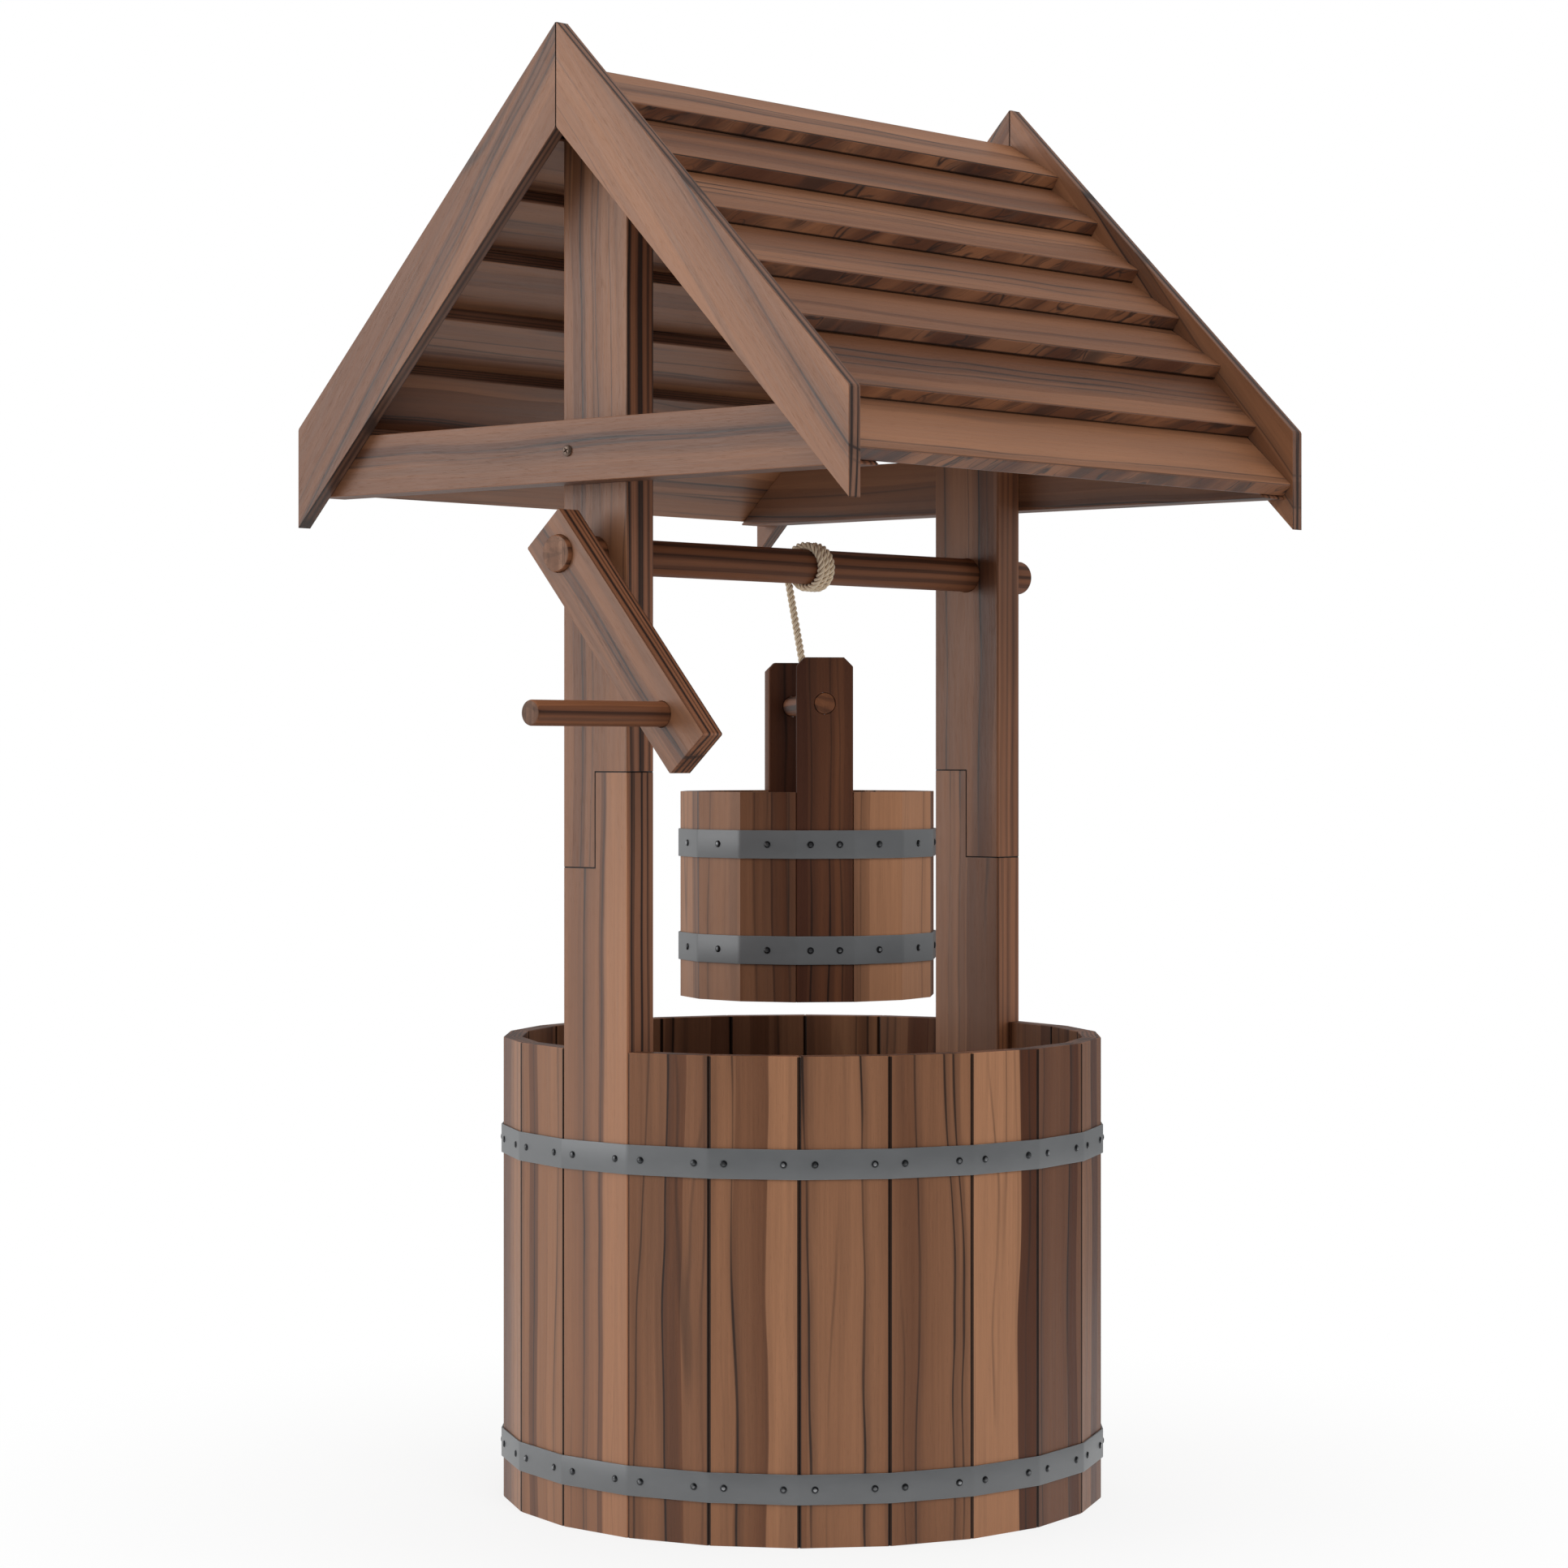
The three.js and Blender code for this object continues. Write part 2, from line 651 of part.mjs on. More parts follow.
function buildRope() {
  const path = new WindingPath();
  const steps = Math.round(stepsPerTurn * path.length / path.turnLength);
  addPiece(well, 'rope_winding', tube(path, windingSides, steps), hemp());
  console.log(`rope winding: least gap to itself ${leastGap(path, steps).toFixed(2)} mm`);

  const route = new THREE.CatmullRomCurve3(ropeRoute.map((point) => new THREE.Vector3(...point)));
  const knot = new THREE.SphereGeometry(knotRadius, knotFacets, knotRings).rotateX(Math.PI / 2);
  knot.translate(bucketOffsetX, bucketOffsetY, dowelHeight - dowelRadius - seatGap - knotRadius);
  const rope = solidOf(tube(route, ropeSides, ropeSteps)).add(solidOf(knot));
  addPiece(well, 'bucket_rope', geometryOf(rope), hemp());
}

buildTub();
buildFloor();
buildPosts();
buildRoof();
buildWindlass();
buildBucket();
buildRope();

export default well;
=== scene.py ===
"""Wishing well planter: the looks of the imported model, laid out as a Blender add-on."""

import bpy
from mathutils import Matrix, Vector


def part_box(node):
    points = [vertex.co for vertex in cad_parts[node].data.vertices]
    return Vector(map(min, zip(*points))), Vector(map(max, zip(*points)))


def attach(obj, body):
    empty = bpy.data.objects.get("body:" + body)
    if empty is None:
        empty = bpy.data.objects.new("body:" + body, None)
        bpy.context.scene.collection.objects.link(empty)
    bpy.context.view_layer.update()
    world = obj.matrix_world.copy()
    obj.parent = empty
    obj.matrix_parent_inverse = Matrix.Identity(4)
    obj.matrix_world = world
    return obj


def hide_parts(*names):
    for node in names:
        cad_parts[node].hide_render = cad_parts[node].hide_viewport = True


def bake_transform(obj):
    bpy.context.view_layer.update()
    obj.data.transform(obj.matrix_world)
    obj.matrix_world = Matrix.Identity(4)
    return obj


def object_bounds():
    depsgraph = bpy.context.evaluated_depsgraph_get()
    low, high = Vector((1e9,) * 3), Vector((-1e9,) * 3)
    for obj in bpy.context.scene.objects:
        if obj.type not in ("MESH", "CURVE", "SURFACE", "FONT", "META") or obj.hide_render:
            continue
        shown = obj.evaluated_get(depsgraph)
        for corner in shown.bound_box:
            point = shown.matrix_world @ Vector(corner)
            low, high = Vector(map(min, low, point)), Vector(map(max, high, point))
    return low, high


bl_info = {
    "name": "Wishing Well Planter",
    "version": (1, 0, 0),
    "blender": (4, 5, 0),
    "location": "3D View > Sidebar > Wishing Well",
    "description": "Builds the wood, steel and rope of a wishing well planter round its frame",
    "category": "Object",
}

import math
import random

import bmesh
import bpy
import numpy as np
from bpy.props import FloatProperty, FloatVectorProperty, IntProperty, PointerProperty
from mathutils import Matrix, Vector

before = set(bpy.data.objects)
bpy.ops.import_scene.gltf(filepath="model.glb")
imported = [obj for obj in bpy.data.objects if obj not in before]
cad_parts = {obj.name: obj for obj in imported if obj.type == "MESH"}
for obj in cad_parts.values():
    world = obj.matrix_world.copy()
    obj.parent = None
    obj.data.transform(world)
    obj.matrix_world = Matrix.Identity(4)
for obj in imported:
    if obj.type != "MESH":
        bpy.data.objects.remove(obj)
CAD_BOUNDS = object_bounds()

MM = 0.001
X_AXIS, Y_AXIS, Z_AXIS = Vector((1, 0, 0)), Vector((0, 1, 0)), Vector((0, 0, 1))


class Ring:
    """The many-sided ring that staves stand in and hoops go round."""

    def __init__(self, sides, radius, centre=(0, 0, 0), turn=0.0):
        self.sides = sides
        self.half = math.pi / sides
        self.flat = radius * math.cos(self.half)
        self.centre = Vector(centre)
        self.turn = turn

    def ways(self, side):
        """The way out of a side and the way along it"""
        middle = self.turn + 2 * self.half * side
        out = Vector((math.cos(middle), math.sin(middle), 0))
        return out, Vector((-out.y, out.x, 0))


# Sizes in metres, as in the frame
TUB = Ring(22, 0.250)
BUCKET = Ring(14, 0.107, (0.0029, -0.0033, 0), math.radians(49.1))
POST_SIDES = (0, 11)
LUG_SIDES = (0, 7)
STAVE_THICKNESS = 0.015
BUCKET_STAVE = 0.011
POST_THICKNESS = 0.03
BEAM_THICKNESS = 0.0303
SLAT_THICKNESS = 0.013
BARGEBOARD_THICKNESS = 0.025
ARM_THICKNESS = 0.022
FLOOR_THICKNESS = 0.014
BATTEN_THICKNESS = 0.02
BUCKET_FLOOR_THICKNESS = 0.012
FLOOR_TONE = -0.2
BATTENS = (-0.13, 0.0, 0.13)
BATTEN_TOP = 0.0199
JOINT_GAP = 0.0003
HOOP_BEND = 0.0022
TUB_RIVETS = (-0.0235, 0.0235)
LUG_RIVETS = (-0.012, 0.012)
SHAFT_HEIGHT = 0.7725
SHAFT_RADIUS = 0.0145
HANDLE_RADIUS = 0.00975
DOWEL_RADIUS = 0.0085
DOWEL_COLLAR = 0.00872
ROPE_HOLE = 0.0034
ARM_END = Vector((0, -0.1104, 0.6459))
WINDING_RADIUS = 0.0177
ROPE_PITCH = 0.0063
ROPE_TURNS = 3.1
ROPE_START_X = 0.0005
ROPE_LEAVE = math.radians(-11)
SCREW_HEIGHT = 0.0026

# The faces of boards in a tight joint stand out by SWELLING, up to so many times at a corner
SWELLING = 0.00013
SWELLING_LIMIT = 1.4
# Faces with less area than this for each metre of rim are rounded edges
NARROW = 0.00048
# Rounded edges in a tight joint are darkened by this much, as painted shade in the gap
JOINT_SHADE = 0.15
# Other rounded edges are lightened by this much, partly as wear and partly as a painted highlight on the
# arris
EDGE_WEAR_AND_HIGHLIGHT = 1.1

# The dropping rope's route from the turns to the middle of the knot, as in the frame
ROPE_ROUTE = [
    (0.00015, 0.0162, 0.7631), (0.0001, 0.0156, 0.7602), (0.0001, 0.0146, 0.756),
    (0.0002, 0.0134, 0.750), (0.0005, 0.0114, 0.740), (0.0008, 0.0094, 0.730),
    (0.0011, 0.0074, 0.720), (0.0014, 0.0053, 0.710), (0.0017, 0.0033, 0.700),
    (0.002, 0.0013, 0.690), (0.00235, -0.0007, 0.680), (0.00265, -0.0023, 0.672),
    (0.00285, -0.0031, 0.667), (0.0029, -0.0033, 0.663), (0.0029, -0.0033, 0.6565),
    (0.0029, -0.0033, 0.650), (0.0029, -0.0033, 0.645), (0.0029, -0.0033, 0.6415),
]
DOWEL_HOLE = ROPE_ROUTE[14]

# Figure of the boards that show most: strips (start, stop, lightness), streaks (place, lean,
# strength) and how much lighter the board is. Places are in millimetres from its middle.
FIGURE = {
    "tub_stave_09": ([(-30, -8, -0.3), (8, 30, 0.2)], [(-6, 0, 0.7), (20, 0, 0.4)], 0),
    "tub_stave_10": ([(-20, -6, -0.35), (10, 40, 0.2)], [(-12, 0, 0.8), (24, 0.02, 0.6)], -0.05),
    "tub_stave_11": ([(-40, -5, 0.05), (-5, 12, -0.3)], [(-4, 0, 1), (-27, 0.035, 0.7)], -0.1),
    "tub_stave_12": ([(10, 40, 0.35), (-16, 10, -0.25)], [(-16, -0.016, 1), (8, 0, 0.15)], 0.2),
    "tub_stave_13": ([(14, 40, -0.1), (-40, -29, -0.2)], [(-29, -0.02, 0.95), (15, -0.012, 1)], 0.08),
    "tub_stave_14": (
        [(-40, -12, -0.1), (28, 40, 0.15)], [(-12, 0, 1), (18, -0.02, 0.9), (26, -0.02, 0.9)], 0,
    ),
    "tub_stave_15": ([(-40, 15, 0.7), (15, 40, -0.45)], [(13, -0.02, 0.3), (24, 0.01, 0.7)], 0),
    "tub_stave_16": ([(-10, 12, 0), (14, 28, -0.4)], [(-28, 0, 0.9), (14, 0.01, 0.9)], -0.2),
    "tub_stave_17": ([(-40, 0, 0.1), (0, 20, -0.4)], [(0, 0, 0.7)], -0.1),
    "post_lower_crank": ([(10, 40, 0.45), (4, 9, -0.4)], [(-12, 0, 0.9), (6, 0.006, 0.6)], 0),
    "post_upper_crank": ([(8, 40, 0.15), (-26, -12, -0.3)], [(-16, 0, 0.8), (-4, 0.006, 0.4)], 0),
    "post_upper_far": ([(-24, 6, 0.15), (14, 30, -0.2)], [(13.5, 0, 1), (-24, 0, 0.7)], 0.03),
    "tie_beam_crank": ([(-14, -4, 0.1), (4, 12, -0.2)], [(7, -0.01, 0.9), (2, -0.02, 0.6)], -0.16),
    "bargeboard_crank_front": (
        [(-29, -10, 0.1), (19, 24, -0.2)], [(23, 0, 0.9), (16, 0.004, 0.35), (-14, 0, 0.3)], 0.12,
    ),
    "bargeboard_crank_back": (
        [(-2, 14, -0.2), (16, 29, 0.1)], [(1, 0, 0.8), (14, 0, 0.8), (-12, 0, 0.35)], -0.12,
    ),
    "crank_arm": ([(-8, 0, -0.25), (6, 24, 0.15)], [(0, 0, 0.9), (-5, 0.03, 0.7), (-10, 0, 0.3)], 0),
    "slat_front_1": ([(-30, -4, 0.2), (-2, 8, -0.2)], [(-5, 0.02, 0.9), (6, 0.012, 0.5)], 0.1),
    "slat_front_2": ([(0, 14, -0.05), (20, 40, 0.1)], [(8, 0, 0.35)], 0.04),
    "slat_front_3": (
        [(-20, 4, 0.1), (4, 30, -0.1)], [(-6, 0.02, 0.9), (2, 0.016, 0.8), (10, 0.01, 0.6)], 0.08,
    ),
    "slat_front_4": ([(-20, 6, -0.1), (16, 40, 0.1)], [(4, -0.014, 0.8), (14, 0.01, 0.5)], 0.05),
    "slat_front_5": ([(-20, 40, 0.1), (10, 16, -0.15)], [(12, 0, 0.3)], 0),
    "slat_front_6": (
        [(-30, 4, -0.15), (18, 40, 0.2)], [(-8, 0.02, 0.9), (0, 0.016, 0.9), (8, 0.01, 0.7)], -0.3,
    ),
    "slat_front_7": ([(-20, 40, 0.15), (26, 40, -0.15)], [(24, 0, 0.6)], 0.2),
    "bucket_lug_back": ([(-24, 0, -0.1)], [(6, 0, 0.8)], 0),
    "bucket_lug_front": (
        [(-24, -14, -0.2), (8, 16, 0.15)], [(-11, 0, 0.8), (4.5, 0.01, 0.9), (13, -0.01, 0.6)], 0,
    ),
    "bucket_staves_left 5": ([(-24, -10, -0.1), (10, 24, 0.1)], [(-10, 0, 0.6)], 0.2),
    "bucket_staves_left 6": (
        [(-24, -14, 0.1), (2, 16, -0.2)], [(-12, 0, 0.8), (3, 0, 0.95), (17, 0.01, 1)], -0.42,
    ),
    "bucket_staves_right 8": ([(-24, -6, -0.2), (-6, 24, 0.1)], [(-15, 0, 0.4)], 0.1),
    "bucket_staves_right 9": ([(-24, 24, 0.15)], [(9, 0, 0.3)], 0.5),
}
STRIPS = ("strip_a", "strip_b")
STREAKS = ("streak_a", "streak_b", "streak_c")


# Node trees

def sign(operation):
    """A method that adds the node for one kind of arithmetic."""
    return lambda self, *others: self.work(operation, self, *others)


class Value:
    """A node's output. Arithmetic on it adds the nodes that work it out."""

    __add__, __sub__, __mul__ = sign("ADD"), sign("SUBTRACT"), sign("MULTIPLY")
    __truediv__, __abs__ = sign("DIVIDE"), sign("ABSOLUTE")

    def __init__(self, graph, socket):
        self.socket = socket
        self.work = graph.vector if socket.type in ("VECTOR", "RGBA") else graph.math

    def __rsub__(self, other):
        return self.work("SUBTRACT", other, self)

    def held(self):
        """The same value, kept between 0 and 1"""
        self.socket.node.use_clamp = True
        return self


class Graph:
    """Adds nodes to a shader or geometry tree and joins them up."""

    def __init__(self, tree):
        self.tree = tree

    def feed(self, node, feeds):
        for key, value in feeds.items():
            value = getattr(value, "socket", value)
            if isinstance(value, bpy.types.NodeSocket):
                self.tree.links.new(value, node.inputs[key])
            else:
                node.inputs[key].default_value = value

    def add(self, kind, feeds=None, **options):
        node = self.tree.nodes.new(kind)
        for key, value in options.items():
            setattr(node, key, value)
        self.feed(node, feeds or {})
        return node

    def take(self, kind, feeds=None, out=0, **options):
        """Adds a node and returns one of its outputs"""
        return Value(self, self.add(kind, feeds, **options).outputs[out])

    def math(self, operation, *terms):
        return self.take("ShaderNodeMath", dict(enumerate(terms)), operation=operation)

    def vector(self, operation, *terms, out=0):
        return self.take("ShaderNodeVectorMath", dict(enumerate(terms)), out, operation=operation)

    def most(self, value, *others):
        """The greatest of the values"""
        for other in others:
            value = self.math("MAXIMUM", value, other)
        return value

    def separate(self, vector):
        return [Value(self, part) for part in self.add("ShaderNodeSeparateXYZ", {0: vector}).outputs]

    def combine(self, *parts):
        return self.take("ShaderNodeCombineXYZ", dict(enumerate(parts)))

    def ramp(self, value, low, high, start=0, stop=1, kind="SMOOTHSTEP"):
        feeds = dict(enumerate((value, low, high, start, stop)))
        return self.take("ShaderNodeMapRange", feeds, interpolation_type=kind)

    def seam(self, value, level, width, strength=1):
        """A line where the value is at the level, which fades within the width"""
        return self.ramp(abs(value - level), 0, width, strength, 0)

    def noise(self, place, scale, detail=1, roughness=0.5, out="Fac"):
        feeds = {"Vector": self.vector("MULTIPLY", place, scale), "Scale": 1}
        return self.take("ShaderNodeTexNoise", {**feeds, "Detail": detail, "Roughness": roughness}, out)

    def drift(self, place, scale, detail, reach):
        """A vector that wanders up to half the reach each way"""
        return (self.noise(place, scale, detail, out="Color") - (0.5, 0.5, 0.5)) * reach

    def mix(self, factor, a, b, blend="MIX"):
        feeds = {0: factor, 6: a, 7: b}
        return self.take("ShaderNodeMix", feeds, 2, data_type="RGBA", blend_type=blend)

    def attribute(self, name, out="Vector"):
        return self.take("ShaderNodeAttribute", out=out, attribute_name=name)

    def bump(self, strength, distance, height):
        return self.take("ShaderNodeBump", {"Strength": strength, "Distance": distance, "Height": height})

    def capture(self, geometry, name, value):
        """Keeps the value at each point. Returns the geometry and the kept value"""
        node = self.add("GeometryNodeCaptureAttribute", {"Geometry": geometry}, domain="POINT")
        node.capture_items.new("FLOAT", name)
        self.feed(node, {name: value})
        return Value(self, node.outputs[0]), Value(self, node.outputs[name])


def linear(colour):
    """The scene's linear colour of three sRGB parts."""
    parts = [c / 12.92 if c <= 0.04045 else ((c + 0.055) / 1.055) ** 2.4 for c in colour]
    return (*parts, 1.0)


def finish(name, paint, values=None):
    """The material of this name. The first time, paint fills in its surface."""
    if name in bpy.data.materials:
        return bpy.data.materials[name]
    material = bpy.data.materials.new(name)
    material.use_nodes = True
    material.node_tree.nodes.clear()
    g = Graph(material.node_tree)
    shader = g.add("ShaderNodeBsdfPrincipled")
    surface = paint(g, shader, values) or shader.outputs[0]
    g.add("ShaderNodeOutputMaterial", {"Surface": surface})
    return material


# Finishes

def hardwood(g, shader, wood):
    """Oiled hardwood: crisp lengthwise strips, smoky bands, dark wavy streaks and fine fibres.

    It reads the board's own attributes: grain (along, across and into the board, in metres),
    shift (its place in the pattern), look (tone, narrow side, shade), strips and streaks."""
    grain = g.attribute("grain")
    place = grain + g.attribute("shift")
    tone, side, shade = g.separate(g.attribute("look"))
    bend = g.drift(place, (5, 6, 3), 1.5, (0, 0.016, 0.016))
    bent = place + bend
    along, across, into = g.separate(grain + bend)

    # Strips with crisp edges over soft bands
    strips = g.ramp(g.noise(bent, (0.7, 24, 24)), 0.3, 0.7, 0.36, 0.64)
    for key in STRIPS:
        start, stop, light = g.separate(g.attribute(key))
        past_start, past_stop = (((across - edge) * 1100 + 0.5).held() for edge in (start, stop))
        strips += (past_start - past_stop) * light
    strips = (strips + tone).held()

    # Smoke-coloured bands that fade along the board
    smoke = g.ramp(g.noise(bent, (1.3, 58, 40), 2), 0.54, 0.74)

    # Thin dark lines: a few that the board names, and finer ones between them
    width = g.ramp(g.noise(place, (11, 3, 3)), 0.3, 0.7, 0.0009, 0.0017)
    fade = g.ramp(g.noise(place, (5, 9, 9)), 0.34, 0.56, 0.45, 1)
    lines = halo = 0
    for key in STREAKS:
        spot, lean, strength = g.separate(g.attribute(key))
        away = across - spot - lean * along
        lines = g.most(lines, g.ramp((1 - abs(away) / width).held(), 0, 0.75) * strength)
        halo = g.most(halo, g.seam(away, 0.0015, 0.006) * strength)
    fine = g.seam(g.noise(bent, (0.9, 36, 40), 0), 0.5, 0.022)
    spare = g.ramp(g.noise(place, (2.6, 16, 16)), 0.50, 0.66)
    lines = g.most(lines * fade, fine * spare * wood.fine_lines)
    smoke = g.most(smoke * wood.smoke, halo * fade * 0.42)

    # Close parallel lines on the narrow faces
    ripple = g.math("SINE", into * 215 + g.noise(bent, (0.5, 9, 9)) * 18)
    uneven = g.ramp(g.noise(bent, (0.4, 12, 60), 0), 0.40, 0.54, 0.35, 1)
    lines = g.most(lines, g.ramp(ripple, 0.2, 0.75) * uneven * side)

    # Slanting marks where the figure is cut across
    cut = g.attribute("marbled", "Fac")
    marbled = g.math("MINIMUM", cut, 1)
    slant = place + g.drift(place, (26, 34, 1), 2.5, (0.034, 0.026, 0))
    marks = g.noise(slant, (11, 62, 1))
    crack = g.seam(g.noise(slant, (16, 90, 1), 0), 0.5, 0.02, 0.7)
    marks = g.most(g.seam(marks, 0.53, 0.028), crack, g.ramp(marks, 0.55, 0.60, 0, 0.6))
    rare = g.ramp(g.noise(place, (15, 15, 1)), 0.36, 0.54, 0.3, 1)
    lines = g.most(lines, marks * rare * marbled)
    mottled = (strips + g.ramp(g.noise(slant, (9, 26, 1)), 0.36, 0.62, 0.35, -0.35)).held()

    # Fibres and pores
    fibre = g.noise(place, (22, 1150, 420), 2, 0.6)
    cords = g.noise(place, (7, 330, 240))
    pores = g.ramp(g.noise(place, (95, 2100, 800)), 0.62, 0.74)

    between = (strips - ripple * 0.28).held()
    wide_face = g.mix(strips, linear(wood.dark), linear(wood.light))
    narrow_face = g.mix(between, linear(wood.side_dark), linear(wood.side_light))
    cut_face = g.mix(mottled, linear(wood.cut_dark), linear(wood.cut_light))
    colour = g.mix(marbled, g.mix(side, wide_face, narrow_face), cut_face)
    colour = g.mix(smoke, colour, linear(wood.smoke_colour))
    colour = g.mix(lines * 0.92, colour, linear(wood.streak))
    # The ramp on cut darkens a slat's lower edge next to the slat it lies on: painted shade
    depth = shade * (1 - pores * 0.12) * g.ramp(cut, 1.88, 1.96, 1, 0.2)
    for pattern, low, high in ((fibre, 0.25, 0.75), (cords, 0.3, 0.7)):
        depth *= g.ramp(pattern, low, high, 0.94, 1.06, "LINEAR")
    rough = g.ramp(fibre, 0.2, 0.8, wood.roughness - 0.06, wood.roughness + 0.08)
    g.feed(shader, {
        "Base Color": g.mix(1, colour, g.combine(depth, depth, depth), "MULTIPLY"),
        "Specular IOR Level": wood.gloss,
        "Roughness": (rough + pores * 0.12).held(),
        "Normal": g.bump(0.3, 0.0003, fibre * 0.6 - pores * 0.5 - lines * 0.25),
    })


def painted_steel(g, shader, paint):
    """Steel under a thin grey paint, with a faint skin and wear on its edges. On the rivets the same mark is
    a painted highlight on each crown.
    """
    place = g.take("ShaderNodeTexCoord", out="Object")
    wear_and_glint = g.separate(g.attribute("look"))[2]
    cloud = g.noise(place, (14, 14, 30), 3, 0.6)
    skin = g.noise(place, (700, 700, 700), 2, 0.6)
    scuff = g.ramp(g.noise(place, (60, 60, 420), 3, 0.7), 0.60, 0.74) * 0.07
    rub_and_glint = wear_and_glint * g.ramp(g.noise(place, (90, 90, 90), 2), 0.42, 0.62, 0.1, 0.5)
    colour = g.mix(g.ramp(cloud, 0.3, 0.7), linear(paint.dark), linear(paint.light))
    for share in (scuff, rub_and_glint):
        colour = g.mix(share, colour, linear(paint.wear_and_glint))
    g.feed(shader, {
        "Base Color": colour,
        "Metallic": paint.metal,
        "Roughness": g.ramp(cloud, 0.25, 0.75, paint.roughness - 0.03, paint.roughness + 0.04),
        "Normal": g.bump(0.12, 0.0002, skin),
    })


def laid_fibre(g, shader, rope):
    """Laid natural fibre. It reads strand: length along the rope, and the place round the strand."""
    length, crown, flank = g.separate(g.attribute("strand"))
    yarn = g.combine(length * 420, crown * 2.6, flank * 2.6)
    fibres = g.noise(yarn, (0.35, 3.2, 3.2), 3, 0.65)
    tufts = g.ramp(g.noise(yarn, (0.9, 1.1, 1.1), 2), 0.55, 0.75, 0, 0.4)
    colour = g.mix(g.ramp(fibres, 0.3, 0.7), linear(rope.dark), linear(rope.light))
    # Painted shade in the creases between the strands
    colour = g.mix(g.ramp(crown, -0.7, 0.1), linear(rope.groove), colour)
    g.feed(shader, {
        "Base Color": g.mix(tufts, colour, linear(rope.light)),
        "Roughness": 0.88,
        "Sheen Weight": 0.5,
        "Sheen Roughness": 0.5,
        "Normal": g.bump(0.6, 0.0003, fibres),
    })


def pale_floor(g, shader, _):
    """Keeps the shadow near the well, and turns white away from it."""
    place = g.take("ShaderNodeTexCoord", out="Object")
    tint = g.mix(g.noise(place, (2, 2, 2), 2), linear((0.93, 0.93, 0.925)), linear((0.95, 0.95, 0.945)))
    g.feed(shader, {"Base Color": tint, "Roughness": 0.9})
    path = g.add("ShaderNodeLightPath").outputs
    seen = g.most(path["Is Camera Ray"], path["Is Transmission Ray"], path["Is Glossy Ray"])
    away = g.vector("LENGTH", place, out="Value")
    glow = g.take("ShaderNodeEmission", {"Color": (1, 1, 1, 1), "Strength": 1})
    share = g.ramp(away, 0.22, 0.9, 0.82, 1) * seen
    return g.take("ShaderNodeMixShader", {0: share, 1: shader.outputs[0], 2: glow})


# Meshes

def new_object(name, data):
    """An object with this mesh or curve, linked to the scene, at the origin."""
    if isinstance(data, bmesh.types.BMesh):
        bm, data = data, bpy.data.meshes.new(name)
        bm.to_mesh(data)
        bm.free()
    data.name = name
    made = bpy.data.objects.new(name, data)
    bpy.context.scene.collection.objects.link(made)
    return made


def drop_object(helper):
    bpy.data.objects.remove(helper, do_unlink=True)


def settle(made):
    """Turns what an object's modifiers make of it into a plain mesh, in an object of its name."""
    bpy.context.view_layer.update()
    graph = bpy.context.evaluated_depsgraph_get()
    mesh = bpy.data.meshes.new_from_object(made.evaluated_get(graph))
    name = made.name
    made.modifiers.clear()
    drop_object(made)
    return new_object(name, mesh)


def eased_copy(node, swelling=0.0):
    """The node's own form, merged, with its sharp edges rounded off."""
    bm = bmesh.new()
    bm.from_mesh(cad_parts[node].data)
    bmesh.ops.remove_doubles(bm, verts=bm.verts, dist=0.00001)
    bmesh.ops.dissolve_limit(bm, angle_limit=math.radians(0.6), verts=bm.verts, edges=bm.edges)
    ease_edges(bm)
    if swelling:
        close_up(bm, swelling)
    return bm


def close_up(bm, swelling):
    """Stands a board's faces out a hair, so that a tight joint lets no light through."""
    bm.normal_update()
    moved = [v.co + v.normal * min(v.calc_shell_factor(), SWELLING_LIMIT) * swelling for v in bm.verts]
    low, high = CAD_BOUNDS
    for v, place in zip(bm.verts, moved):
        v.co = [min(max(value, low[i]), high[i]) for i, value in enumerate(place)]


def ease_edges(bm, least=28):
    """Rounds the edges that turn by at least so many degrees."""
    turn = math.radians(least)
    sharp = [e for e in bm.edges if len(e.link_faces) == 2 and e.calc_face_angle(0) > turn]
    bmesh.ops.bevel(
        bm, geom=sharp, offset=settings().easing, offset_type="OFFSET", segments=2, profile=0.5,
        affect="EDGES", clamp_overlap=False,
    )
    bmesh.ops.recalc_face_normals(bm, faces=bm.faces)


def circle(radius, sides):
    steps = [math.tau * i / sides for i in range(sides)]
    return [(radius * math.cos(angle), radius * math.sin(angle)) for angle in steps]


def skin(bm, rings, closed=False):
    """Joins rings of places with faces, and the last ring with the first if closed."""
    rings = [[bm.verts.new(place) for place in ring] for ring in rings]
    for near, far in zip(rings, rings[1:] + rings[:closed]):
        for i in range(len(near)):
            bm.faces.new((near[i - 1], near[i], far[i], far[i - 1]))
    return rings


def fan(bm, ring, tip):
    """Closes a ring with triangles that meet at the tip."""
    tip = bm.verts.new(tip)
    for i in range(len(ring)):
        bm.faces.new((ring[i - 1], ring[i], tip))


def lathe(name, profile, sides=64):
    """A turned piece along X from (x, radius) pairs, closed at both ends on the axis."""
    bm = bmesh.new()
    rings = skin(bm, [[(x, *spot) for spot in circle(radius, sides)] for x, radius in profile])
    for end in (0, -1):
        fan(bm, rings[end], (profile[end][0], 0, 0))
    bmesh.ops.recalc_face_normals(bm, faces=bm.faces)
    return smooth_round(new_object(name, bm))


def rounded_end(x, radius, easing, outward):
    """(x, radius) pairs of a rounded end, from the axis side to the barrel."""
    turns = [step * math.pi / 2 for step in (0.0, 0.3, 0.6, 1.0)]
    return [
        (x - outward * easing * (1 - math.cos(turn)), radius - easing * (1 - math.sin(turn)))
        for turn in turns
    ]


